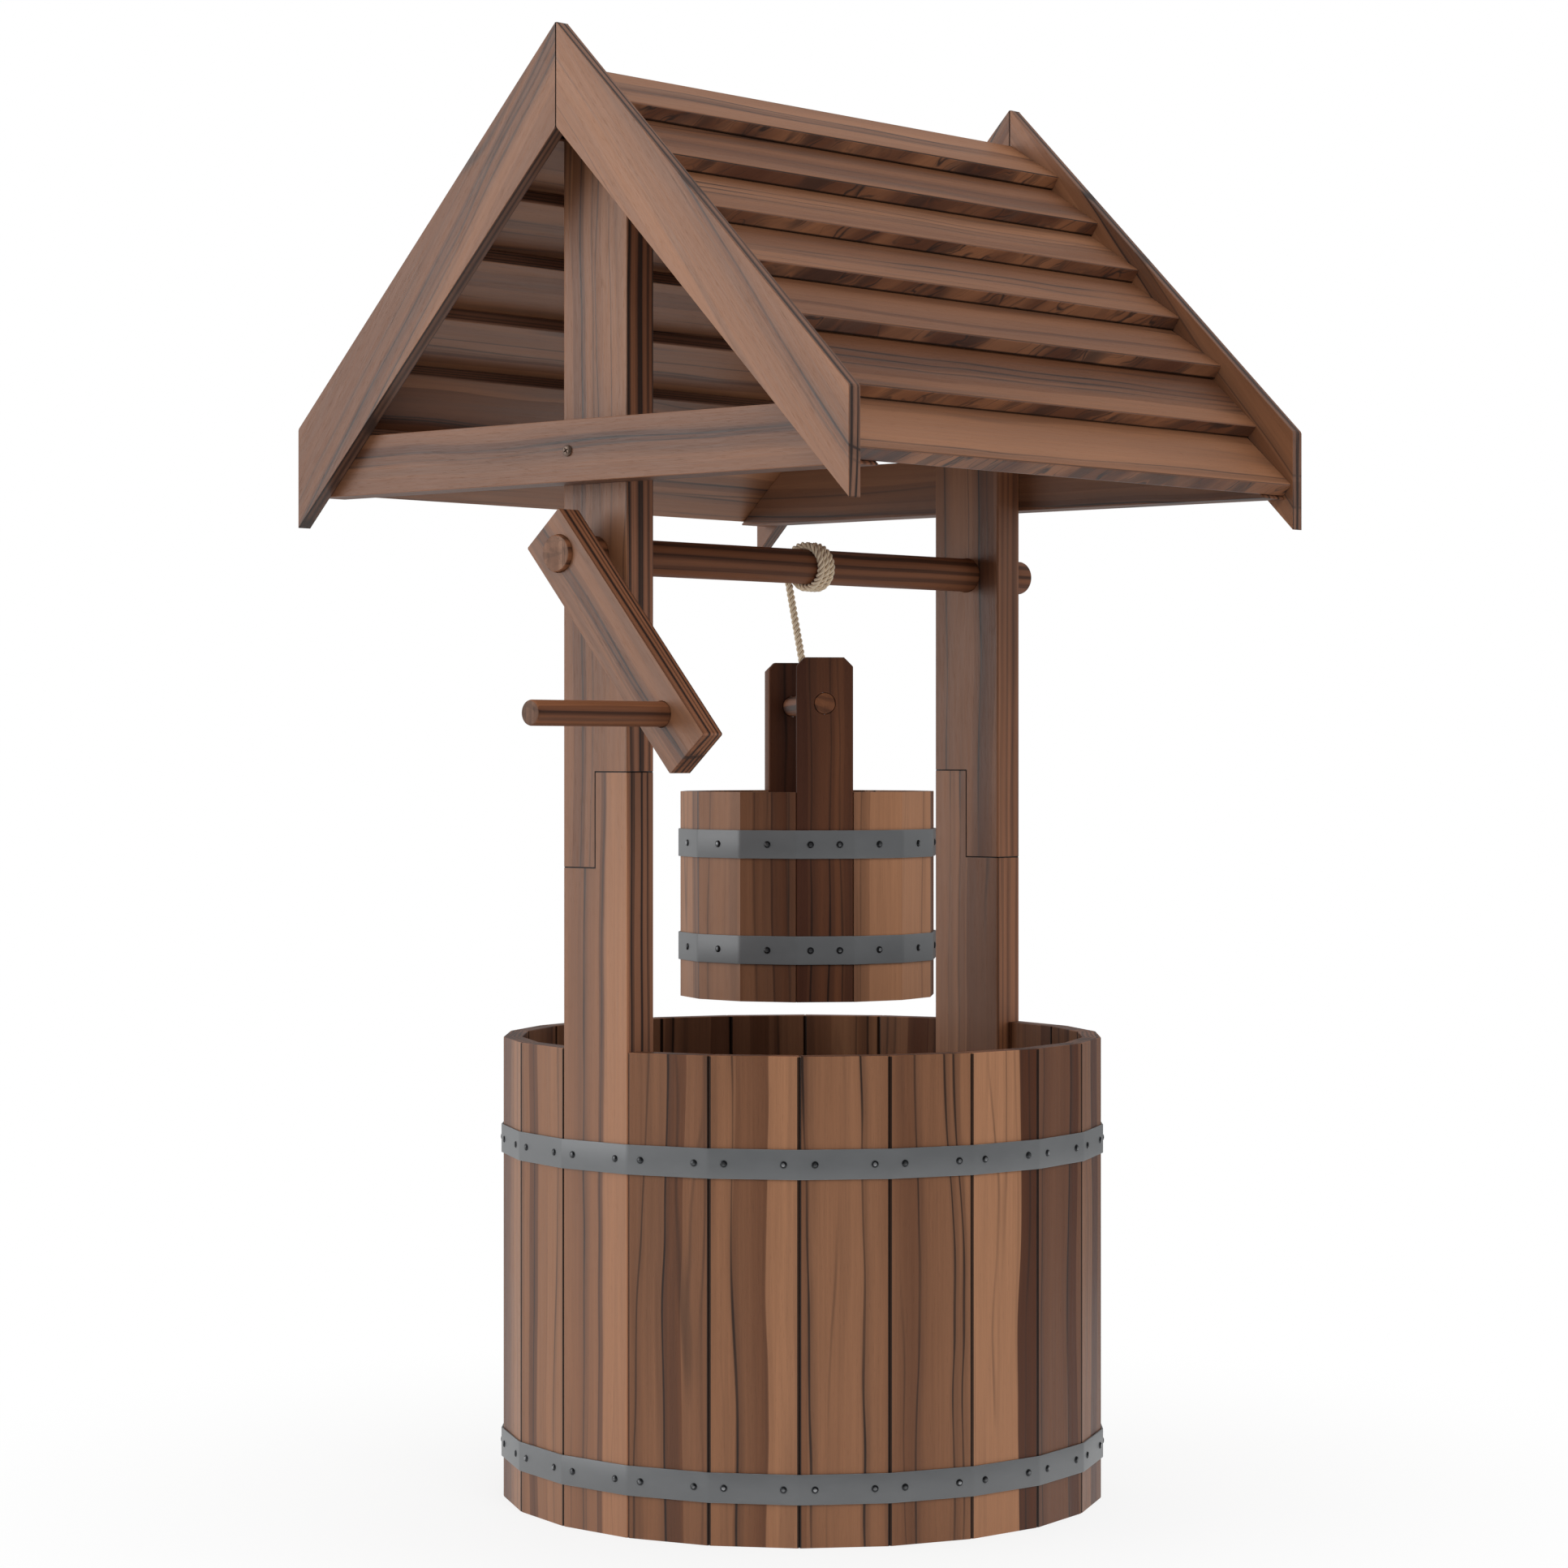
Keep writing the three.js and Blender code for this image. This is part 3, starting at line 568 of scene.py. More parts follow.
def smooth_round(made, least=32):
    """Shades the object smooth, but for edges that turn by more than so many degrees."""
    mesh = made.data
    mesh.polygons.foreach_set("use_smooth", [True] * len(mesh.polygons))
    if least:
        mesh.set_sharp_from_angle(angle=math.radians(least))
    return made


def read(rows, key, width=1, kind=float):
    """One property of all the rows, as an array."""
    values = np.empty(len(rows) * width, kind)
    rows.foreach_get(key, values)
    return values.reshape(-1, width) if width > 1 else values


def store(mesh, name, domain, values):
    """Keeps a number or a vector for each point, corner or face."""
    values = np.asarray(values, np.float32)
    kind, key = ("FLOAT", "value") if values.ndim == 1 else ("FLOAT_VECTOR", "vector")
    layer = mesh.attributes.get(name) or mesh.attributes.new(name, kind, domain)
    layer.data.foreach_set(key, values.ravel())


def random_figure(chance):
    """Strips and streaks of a board that isn't named, in millimetres."""
    edge = chance.uniform(-24, 24)
    far = edge + chance.choice((-1, 1)) * chance.uniform(12, 45)
    light = chance.choice((-0.35, -0.2, 0.2, 0.4))
    spot = chance.uniform(-28, 28)
    strips = [(min(edge, far), max(edge, far), light), (spot, spot + chance.uniform(4, 12), -0.25)]
    streaks = [(spot, chance.uniform(-0.02, 0.02), chance.uniform(0.6, 1.0))]
    for _ in range(chance.randint(0, 2)):
        streaks.append((chance.uniform(-32, 32), chance.uniform(-0.02, 0.02), chance.uniform(0.3, 0.8)))
    return strips, streaks, 0


def mark_wood(made, boards, marbled=None, end_grain=None, joints=None, sides=(1.0, 1.0)):
    """Stores the attributes that the wood reads.

    boards is a list of (test, along, across, centre, thickness, tone, name): test tells which
    faces belong to the board from their centres, or is None for all. marbled is the way that
    faces cut across the figure look. end_grain is how light a turned piece's ends are and how
    far they look cut across. joints tells which rounded edges lie in a tight joint. sides is
    how far the narrow faces take their own colours, and their shade."""
    mesh = made.data
    faces = len(mesh.polygons)
    points = read(mesh.vertices, "co", 3)
    corners = read(mesh.loops, "vertex_index", kind=int)
    centres, normals = read(mesh.polygons, "center", 3), read(mesh.polygons, "normal", 3)
    starts, totals = (read(mesh.polygons, key, kind=int) for key in ("loop_start", "loop_total"))
    owner = np.repeat(np.arange(faces), totals)
    after = np.roll(corners, -1)
    after[starts + totals - 1] = corners[starts]
    rim = np.bincount(owner, np.linalg.norm(points[after] - points[corners], axis=1), faces)
    narrow = read(mesh.polygons, "area") < NARROW * rim

    grain, marble = np.zeros((len(corners), 3)), np.zeros(len(corners))
    shift, look = np.zeros((faces, 3)), np.tile((0.0, 0.0, 1.0), (faces, 1))
    marks = {key: np.zeros((faces, 3)) for key in STRIPS + STREAKS}
    for test, along, across, centre, thickness, tone, name in boards:
        mine = np.ones(faces, bool) if test is None else test(centres)
        chance = random.Random(name)
        basis = np.array([Vector(along).normalized(), Vector(across).normalized()])
        basis = np.vstack((basis, np.cross(*basis)))
        local = (points[corners] - np.array(centre)) @ basis.T
        facing = np.abs(normals @ basis.T)
        deep = local[:, 2] * (-1 if basis[2, 2] > 0 else 1)
        if end_grain:
            local[:, 1:] *= 3
        else:
            local[:, 2] *= 0.12 / thickness
            if test is None:
                local[:, 1] -= (local[:, 1].max() + local[:, 1].min()) / 2
        chosen = mine[owner]
        grain[chosen] = local[chosen]
        shift[mine] = [chance.uniform(-9, 9) for _ in range(3)]
        strips, streaks, lighter = FIGURE.get(name) or random_figure(chance)
        for keys, rows, unit in ((STRIPS, strips, (MM, MM, 1)), (STREAKS, streaks, (MM, 1, 1))):
            for key, row in zip(keys, rows):
                marks[key][mine] = np.multiply(row, unit)
        look[mine, 0] = tone + lighter
        bare = np.zeros(faces, bool)
        if end_grain:
            bare = mine & (facing[:, 0] > 0.8)
            look[mine, 1] = 0.7
            look[bare] = (end_grain[0], 0.3, 1 + 0.3 * end_grain[0])
            marble[bare[owner]] = end_grain[1]
        else:
            look[mine & (facing[:, :2].max(axis=1) > 0.7), 1:] = sides
            # Rounded edges are lightened, partly as wear and partly as a painted highlight
            look[mine & narrow, 2] = EDGE_WEAR_AND_HIGHLIGHT
        if marbled is not None:
            # The lower edge shows the figure cut across, in slanting marks
            bare = mine & (normals @ np.array(marbled) > 0.9)
            turn = -math.radians(chance.uniform(30, 38))
            rows = bare[owner]
            run, wide = local[rows, 0], deep[rows]
            grain[rows, 0] = run * math.cos(turn) + wide * math.sin(turn)
            grain[rows, 1] = wide * math.cos(turn) - run * math.sin(turn)
            grain[rows, 2] = 0.03
            look[bare, :2] = (tone, 0)
            # From 1 on the outer side to 2 where the board lies on the next one; near 2 the wood paints shade
            # into the joint
            marble[rows] = 1 if joints is None else 1 + (wide - wide.min()) / np.ptp(wide)
        for rows in marks.values():
            rows[bare] = 0
    # Painted shade: rounded edges in a tight joint are darkened
    if joints:
        look[joints(centres, normals, narrow), 2] = JOINT_SHADE
    store(mesh, "grain", "CORNER", grain)
    store(mesh, "marbled", "CORNER", marble)
    for key, values in {"shift": shift, "look": look, **marks}.items():
        store(mesh, key, "FACE", values)


def upright_edges(centres, normals, narrow):
    """Rounded edges of a stave that lie in the joint beside it"""
    return narrow & (np.abs(normals[:, 2]) < 0.1)


def ridge_edges(centres, normals, narrow):
    """Rounded edges of a bargeboard that lie in the joint at the ridge"""
    return narrow & (np.abs(centres[:, 1]) < 0.0009)


def under_edges(centres, normals, narrow):
    """Rounded edges of a slat that lie on the next slat"""
    return narrow & (normals[:, 2] < -0.85)


def lap_edges(centres, normals, narrow, reach=0.0012):
    """Rounded edges of a post that lie in its half lap"""
    bottom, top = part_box("post_upper_crank")[0].z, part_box("post_lower_crank")[1].z
    across, height = np.abs(centres[:, 1]), centres[:, 2]
    level = np.minimum(np.abs(height - bottom), np.abs(height - top)) < reach
    return narrow & (level | (across < reach) & (height > bottom) & (height < top))


def finish_piece(made, material, body, slot, *nodes):
    """Gives the piece its material and its body, and hides the nodes that it stands for. slot is not used."""
    made.data.materials.clear()
    made.data.materials.append(material)
    if body:
        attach(made, body)
    if nodes:
        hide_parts(*nodes)
    return made


def node_centre(node):
    low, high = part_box(node)
    return (low + high) / 2


def wooden_board(node, along, across, thickness, tone, material, slot, body="well", **marks):
    """A plain board: the node's form with eased edges and its own figure."""
    made = new_object(node + "_wood", eased_copy(node, SWELLING if body == "well" else 0.0))
    mark_wood(made, [(None, along, across, node_centre(node), thickness, tone, node)], **marks)
    finish_piece(made, material, body, slot, node)


# Settings

def colour_setting(name, description, *parts):
    return FloatVectorProperty(
        name=name, description=description, subtype="COLOR_GAMMA", size=3, min=0, max=1,
        default=[part / 255 for part in parts],
    )


def share_setting(name, description, default, least=0, most=1):
    return FloatProperty(
        name=name, description=description, default=default, min=least, max=most, subtype="FACTOR"
    )


def length_setting(name, description, default, least, most):
    return FloatProperty(
        name=name, description=description, default=default, min=least, max=most, unit="LENGTH"
    )


class WoodFinishSettings(bpy.types.PropertyGroup):
    """Colours of one kind of wood"""

    light: colour_setting("Light Strips", "Lightest strips on the wide faces", 162, 112, 79)
    dark: colour_setting("Dark Strips", "Darkest strips on the wide faces", 82, 43, 22)
    side_light: colour_setting("Light Sides", "Lightest strips on the narrow faces", 146, 96, 68)
    side_dark: colour_setting("Dark Sides", "Darkest strips on the narrow faces", 84, 50, 34)
    cut_light: colour_setting("Light Cut Figure", "Lighter parts of faces cut across it", 148, 98, 66)
    cut_dark: colour_setting("Dark Cut Figure", "Darker parts of faces cut across it", 92, 54, 36)
    smoke_colour: colour_setting("Smoke", "Colour of the smoky bands", 68, 45, 35)
    streak: colour_setting("Streaks", "Colour of the thin dark lines", 36, 25, 21)
    smoke: share_setting("Smoke Strength", "How much the smoky bands cover", 0.35)
    fine_lines: share_setting("Fine Lines", "How strong the fine lines between the streaks are", 0.5)
    roughness: share_setting("Roughness", "How dull the oil is", 0.46)
    gloss: share_setting("Gloss", "How much the oil shines", 0.5)


class SteelFinishSettings(bpy.types.PropertyGroup):
    """Paint of the hoops, rivets and screws"""

    light: colour_setting("Light Paint", "Lighter parts of the paint", 113, 115, 117)
    dark: colour_setting("Dark Paint", "Darker parts of the paint", 107, 109, 111)
    # Rubbed paint on the hoops; on the rivets this colour is a painted highlight
    wear_and_glint: colour_setting("Wear", "Where the paint has rubbed", 140, 143, 145)
    metal: share_setting("Metal", "How metallic the paint is", 0.15)
    roughness: share_setting("Roughness", "How dull the paint is", 0.42)


class RopeSettings(bpy.types.PropertyGroup):
    """The rope's make and colours"""

    diameter: length_setting("Diameter", "Thickness of the rope", 0.0058, 0.002, 0.02)
    fullness: share_setting("Fullness", "How far the crowns stand past the diameter", 1.085, 1, 1.2)
    strands: IntProperty(name="Strands", description="Strands laid together", default=3, min=2, max=6)
    lay: length_setting("Lay", "Length in which a strand goes round once", 0.014, 0.005, 0.1)
    light: colour_setting("Light Fibres", "Lighter fibres", 255, 238, 210)
    dark: colour_setting("Dark Fibres", "Darker fibres", 250, 226, 194)
    # The grooves' colour is painted shade between the strands
    groove: colour_setting("Grooves", "Between the strands", 166, 132, 98)


class WellSettings(bpy.types.PropertyGroup):
    """Sizes and finishes of the wishing well planter"""

    easing: length_setting("Edge Rounding", "Rounding of the boards' edges", 0.0005, 0.0001, 0.003)
    rivet_diameter: length_setting("Rivet Diameter", "Width of a rivet's head", 0.0056, 0.002, 0.02)
    rivet_height: length_setting("Rivet Height", "How far a rivet stands out", 0.0015, 0.0005, 0.01)
    strap_thickness: length_setting("Strap Thickness", "Thickness of the hoops", 0.0016, 0.0005, 0.01)
    screw_diameter: length_setting("Screw Diameter", "Width of a screw's head", 0.009, 0.004, 0.03)
    tub: PointerProperty(type=WoodFinishSettings)
    posts: PointerProperty(type=WoodFinishSettings)
    roof: PointerProperty(type=WoodFinishSettings)
    turned: PointerProperty(type=WoodFinishSettings)
    floor: PointerProperty(type=WoodFinishSettings)
    steel: PointerProperty(type=SteelFinishSettings)
    rivets: PointerProperty(type=SteelFinishSettings)
    screws: PointerProperty(type=SteelFinishSettings)
    rope: PointerProperty(type=RopeSettings)


# Where a kind of wood or steel departs from the defaults above
TUNING = {
    "tub": {"gloss": 0.36, "light": (166, 117, 84)},
    "posts": {"streak": (44, 34, 31), "fine_lines": 0.65, "smoke_colour": (72, 51, 42)},
    "roof": {
        "streak": (48, 38, 35), "smoke_colour": (80, 62, 54), "smoke": 0.45, "fine_lines": 0.7,
        "side_light": (128, 90, 70), "side_dark": (72, 48, 38),
    },
    "turned": {
        "light": (142, 88, 54), "dark": (78, 42, 26), "side_light": (150, 96, 64),
        "side_dark": (92, 56, 38), "cut_light": (146, 116, 98), "cut_dark": (88, 60, 46),
        "streak": (34, 21, 17), "smoke_colour": (52, 34, 27), "smoke": 0.4, "roughness": 0.58,
        "gloss": 0.3,
    },
    "floor": {"light": (130, 92, 68), "dark": (86, 58, 44)},
    # The rivets' light colour here is a painted highlight on their crowns
    "rivets": {
        "light": (52, 54, 57), "dark": (38, 40, 42), "wear_and_glint": (205, 207, 210), "metal": 0.6,
        "roughness": 0.28,
    },
    "screws": {
        "light": (112, 92, 80), "dark": (92, 76, 66), "wear_and_glint": (150, 134, 120), "metal": 0.6,
        "roughness": 0.34,
    },
}


def settings():
    return bpy.context.scene.wishing_well


def tune_finishes(well):
    """Sets the kinds of wood and steel apart from each other."""
    for kind, changes in TUNING.items():
        for key, value in changes.items():
            if isinstance(value, tuple):
                value = [part / 255 for part in value]
            setattr(getattr(well, kind), key, value)


# Geometry Nodes

def new_tree(name, sizes):
    """A geometry tree with a Geometry, the named sizes and a Material as inputs."""
    tree = bpy.data.node_groups.new(name, "GeometryNodeTree")
    sockets = {"Geometry": ("Geometry", None), **sizes, "Material": ("Material", None)}
    for key, (kind, default) in sockets.items():
        socket = tree.interface.new_socket(key, in_out="INPUT", socket_type="NodeSocket" + kind)
        if default is not None:
            socket.default_value = default
    tree.interface.new_socket("Geometry", in_out="OUTPUT", socket_type="NodeSocketGeometry")
    g = Graph(tree)
    source = g.add("NodeGroupInput").outputs
    return g, {key: Value(g, source[key]) for key in sockets}


def close_tree(g, geometry, inputs):
    """Ends the tree in Realize Instances and Set Material."""
    real = g.take("GeometryNodeRealizeInstances", {"Geometry": geometry})
    painted = g.take("GeometryNodeSetMaterial", {"Geometry": real, "Material": inputs["Material"]})
    g.add("NodeGroupOutput", {"Geometry": painted})
    return g.tree


def run_tree(made, tree, values):
    """Runs a tree on the object, with its inputs set by their identifiers, and settles it."""
    modifier = made.modifiers.new(tree.name, "NODES")
    modifier.node_group = tree
    for item in tree.interface.items_tree:
        if item.in_out == "INPUT" and item.name in values:
            modifier[item.identifier] = values[item.name]
    return settle(made)


def heads_tree():
    """Puts a copy of a head, which points along Z, on every point, along the point's facing."""
    sizes = {"Head": ("Object", None), "Width": ("Float", 1.0), "Height": ("Float", 1.0)}
    g, inputs = new_tree("fastener_heads", sizes)
    feeds = {"Object": inputs["Head"]}
    head = g.take("GeometryNodeObjectInfo", feeds, "Geometry", transform_space="RELATIVE")
    facing = g.take("GeometryNodeInputNamedAttribute", {"Name": "facing"}, data_type="FLOAT_VECTOR")
    spin = g.take("GeometryNodeInputNamedAttribute", {"Name": "spin"}, data_type="FLOAT")
    turn = g.take("FunctionNodeAlignRotationToVector", {"Vector": facing}, axis="Z")
    roll = g.take("FunctionNodeAxisAngleToRotation", {"Axis": (0, 0, 1), "Angle": spin})
    both = g.take("FunctionNodeRotateRotation", {0: turn, 1: roll}, rotation_space="LOCAL")
    size = g.combine(inputs["Width"], inputs["Width"], inputs["Height"])
    feeds = {"Points": inputs["Geometry"], "Instance": head, "Rotation": both, "Scale": size}
    return close_tree(g, g.take("GeometryNodeInstanceOnPoints", feeds), inputs)


def place_heads(name, head, spots, width, height, material):
    """One mesh of fastener heads. spots are (point, facing, spin)."""
    points, facings, spins = zip(*spots)
    mesh = bpy.data.meshes.new(name)
    mesh.from_pydata(points, [], [])
    store(mesh, "facing", "POINT", facings)
    store(mesh, "spin", "POINT", spins)
    tree = bpy.data.node_groups.get("fastener_heads") or heads_tree()
    values = {"Head": head, "Width": width, "Height": height, "Material": material}
    made = run_tree(new_object(name, mesh), tree, values)
    drop_object(head)
    return smooth_round(made, 40)


def dome_head(name, rings=6, sides=20):
    """A round rivet head of unit width and height, its underside a little sunk and its crown marked for a
    painted highlight.
    """
    foot, sunk, rim, radius = 0.28, -0.25, 0.12, 0.5
    turns = [step / rings * math.pi / 2 for step in range(1, rings)]
    profile = [(foot, sunk), (radius, sunk), (radius, rim)]
    profile += [(radius * math.cos(turn), rim + (1 - rim) * math.sin(turn)) for turn in turns]
    bm = bmesh.new()
    loops = skin(bm, [[(*spot, height) for spot in circle(wide, sides)] for wide, height in profile])
    fan(bm, loops[-1], (0, 0, 1))
    bm.faces.new(loops[0][::-1])
    bmesh.ops.recalc_face_normals(bm, faces=bm.faces)
    made = new_object(name, bm)
    # The crown's faces take the light colour as a painted highlight
    store(made.data, "look", "FACE", [(0, 0, p.center.z > 0.9) for p in made.data.polygons])
    return made


def cross_head(name, count=44, reach=0.5, groove=0.062, arm=0.27):
    """A pan screw head of unit width and height with a cross recess."""
    bm = bmesh.new()
    grid = []
    for i in range(count + 1):
        row = []
        for j in range(count + 1):
            # A square grid drawn in to a disc
            u, v = 2 * i / count - 1, 2 * j / count - 1
            x = reach * u * math.sqrt(1 - v * v / 2)
            y = reach * v * math.sqrt(1 - u * u / 2)
            height = 0.35 + 0.65 * math.sqrt(max(0, 1 - (math.hypot(x, y) / reach) ** 3))
            near, far = sorted((abs(x), abs(y)))
            inside = min(1, max(0, (groove - near) / 0.02)) * min(1, max(0, (arm - far) / 0.05))
            row.append(bm.verts.new((x, y, height - 0.62 * inside)))
        grid.append(row)
    for i in range(count):
        for j in range(count):
            bm.faces.new((grid[i][j], grid[i + 1][j], grid[i + 1][j + 1], grid[i][j + 1]))
    down = bmesh.ops.extrude_edge_only(bm, edges=[e for e in bm.edges if e.is_boundary])
    for v in down["geom"]:
        if isinstance(v, bmesh.types.BMVert):
            v.co.z = -0.1
    close_holes(bm)
    return new_object(name, bm)


def close_holes(bm):
    bmesh.ops.holes_fill(bm, edges=[e for e in bm.edges if e.is_boundary], sides=0)
    bmesh.ops.recalc_face_normals(bm, faces=bm.faces)


def strands_tree():
    """Lays twisted strands round a curve, and stores where each point is on its strand."""
    g, inputs = new_tree("laid_rope", {
        "Diameter": ("Float", 0.0058), "Strands": ("Int", 3), "Lay": ("Float", 0.014),
        "Strand Sides": ("Int", 14), "Step": ("Float", 0.0007),
    })
    strands = inputs["Strands"]
    # Strands that touch: centre distance c and radius s with c + s = d / 2 and s = c sin(pi / n)
    half = inputs["Diameter"] * 0.5
    centre = half / (g.math("SINE", g.math("DIVIDE", math.pi, strands)) + 1)
    thick = (half - centre) * 1.06

    feeds = {"Curve": inputs["Geometry"], "Length": inputs["Step"]}
    fine = g.take("GeometryNodeResampleCurve", feeds, mode="LENGTH")
    line, run = g.capture(fine, "run", g.take("GeometryNodeSplineParameter", out="Length"))
    tilted = g.take("GeometryNodeSetCurveTilt", {"Curve": line, "Tilt": run / inputs["Lay"] * math.tau})

    feeds = {"Resolution": inputs["Strand Sides"], "Radius": thick}
    rim = g.take("GeometryNodeCurvePrimitiveCircle", feeds)
    rim, part = g.capture(rim, "part", g.take("GeometryNodeSplineParameter", out="Factor") * math.tau)
    moved = g.take("GeometryNodeTransform", {"Geometry": rim, "Translation": g.combine(centre * 0.995, 0, 0)})
    spots = g.take("GeometryNodePoints", {"Count": strands})
    angle = g.take("GeometryNodeInputIndex") / strands * math.tau
    feeds = {"Points": spots, "Instance": moved, "Rotation": g.combine(0, 0, angle)}
    ring = g.take("GeometryNodeInstanceOnPoints", feeds)
    profile = g.take("GeometryNodeRealizeInstances", {"Geometry": ring})
    feeds = {"Curve": tilted, "Profile Curve": profile, "Fill Caps": True}
    tube = g.take("GeometryNodeCurveToMesh", feeds)
    where = g.combine(run, g.math("COSINE", part), g.math("SINE", part))
    feeds = {"Geometry": tube, "Name": "strand", "Value": where}
    options = {"data_type": "FLOAT_VECTOR", "domain": "POINT"}
    return close_tree(g, g.take("GeometryNodeStoreNamedAttribute", feeds, **options), inputs)


def laid_rope(name, runs, material):
    """A rope's mesh along one or more runs of points."""
    curve = bpy.data.curves.new(name, "CURVE")
    curve.dimensions = "3D"
    curve.twist_mode = "MINIMUM"
    for run in runs:
        points = curve.splines.new("POLY").points
        points.add(len(run) - 1)
        for point, place in zip(points, run):
            point.co = (*place, 1.0)
    rope = settings().rope
    tree = bpy.data.node_groups.get("laid_rope") or strands_tree()
    values = {"Diameter": rope.diameter * rope.fullness, "Strands": rope.strands, "Lay": rope.lay}
    made = run_tree(new_object(name, curve), tree, {**values, "Material": material})
    return smooth_round(made, None)


def smooth_route(points, step):
    """A denser route through the points, by Catmull-Rom."""
    points = [Vector(p) for p in points]
    ends = [points[0] * 2 - points[1], *points, points[-1] * 2 - points[-2]]
    route = []
    for a, b, c, d in zip(ends, ends[1:], ends[2:], ends[3:]):
        square, cube = 2 * a - 5 * b + 4 * c - d, 3 * b - a - 3 * c + d
        count = max(1, round((c - b).length / step))
        for t in (i / count for i in range(count)):
            route.append(0.5 * (2 * b + (c - a) * t + square * t * t + cube * t ** 3))
    return [*route, points[-1]]


def route_length(route):
    return sum((b - a).length for a, b in zip(route, route[1:]))


def winding_route():
    """The turns on the shaft, from their fixed end to where the rope leaves at the back."""
    def place(turns):
        angle = ROPE_LEAVE + math.tau * turns
        x = ROPE_START_X + ROPE_PITCH * turns
        return Vector((x, WINDING_RADIUS * math.cos(angle), SHAFT_HEIGHT + WINDING_RADIUS * math.sin(angle)))

    count = round(ROPE_TURNS * 40)
    turns = [place(ROPE_TURNS * (1 - i / count)) for i in range(count + 1)]
    reach = settings().rope.diameter
    first = (place(ROPE_TURNS) - place(ROPE_TURNS - 0.001)).normalized() * reach
    last = (place(0.0) - place(0.001)).normalized() * reach
    head = [turns[0] + first * (1 - i / 4) for i in range(4)]
    tail = [turns[-1] + last * (i / 4) for i in range(1, 5)]
    return head + turns + tail


# Operators

class WellOperator:
    """What the well's operators share"""

    bl_options = {"REGISTER", "UNDO"}


class WELL_OT_stage(WellOperator, bpy.types.Operator):
    """Put up the floor, the lights and the camera"""

    bl_idname = "well.stage"
    bl_label = "Stage"

    def execute(self, context):
        scene = context.scene
        scene.view_settings.view_transform = "Standard"
        camera = bpy.data.cameras.new("camera")
        camera.lens = 90.93
        camera.shift_y = -0.01834
        stand = new_object("camera", camera)
        stand.location = (-2.4857, -2.1967, 0.61448)
        stand.rotation_euler = (math.radians(90), 0.0, math.radians(-48.266))
        scene.camera = stand
        self.lamp("left_light", (-3.2, 2.6, 1.5), 2.6, 50, True)
        self.lamp("right_light", (3.0, -2.9, 1.4), 2.6, 26, False)
        self.lamp("front_light", (-1.8, -3.2, 3.2), 2.4, 54, False)
        self.lamp("top_light", (1.2, 0.6, 3.8), 2.6, 34, False)
        scene.world = self.surroundings()

        bm = bmesh.new()
        bmesh.ops.create_circle(bm, cap_ends=True, segments=96, radius=1.3)
        floor = new_object("stage_floor", bm)
        floor.data.materials.append(finish("pale_floor", pale_floor))
        return {"FINISHED"}

    def lamp(self, name, place, size, power, gleams):
        """A soft square lamp that looks at the middle of the well. One that gleams shows in a gloss"""
        light = bpy.data.lights.new(name, "AREA")
        light.size = size
        light.energy = power
        made = new_object(name, light)
        made.location = place
        made.visible_glossy = gleams
        aim = Vector((0, 0, 0.6)) - made.location
        made.rotation_euler = aim.to_track_quat("-Z", "Y").to_euler()

    def surroundings(self):
        """A plain world that is white where the camera looks at it"""
        world = bpy.data.worlds.new("surroundings")
        world.use_nodes = True
        world.node_tree.nodes.clear()
        g = Graph(world.node_tree)
        path = g.add("ShaderNodeLightPath").outputs
        seen = g.most(path["Is Camera Ray"], path["Is Transmission Ray"])
        # A gloss sees a studio that is dark at the front and brightest on the left
        way = g.take("ShaderNodeTexCoord", out="Generated")
        front = g.vector("DOT_PRODUCT", way, (-0.46, -0.887, 0), out="Value")
        left = g.vector("DOT_PRODUCT", way, (-0.75, 0.66, 0), out="Value")
        dim = g.ramp(front, -0.05, 0.3, 1, 0.02) * g.ramp(left, -0.1, 0.7, 0.36, 1)
        colour = g.mix(path["Is Glossy Ray"], (0.54, 0.54, 0.54, 1), g.combine(dim, dim, dim))
        back = g.take("ShaderNodeBackground", {"Color": g.mix(seen, colour, (1, 1, 1, 1)), "Strength": 1})
        g.add("ShaderNodeOutputWorld", {"Surface": back})
        return world


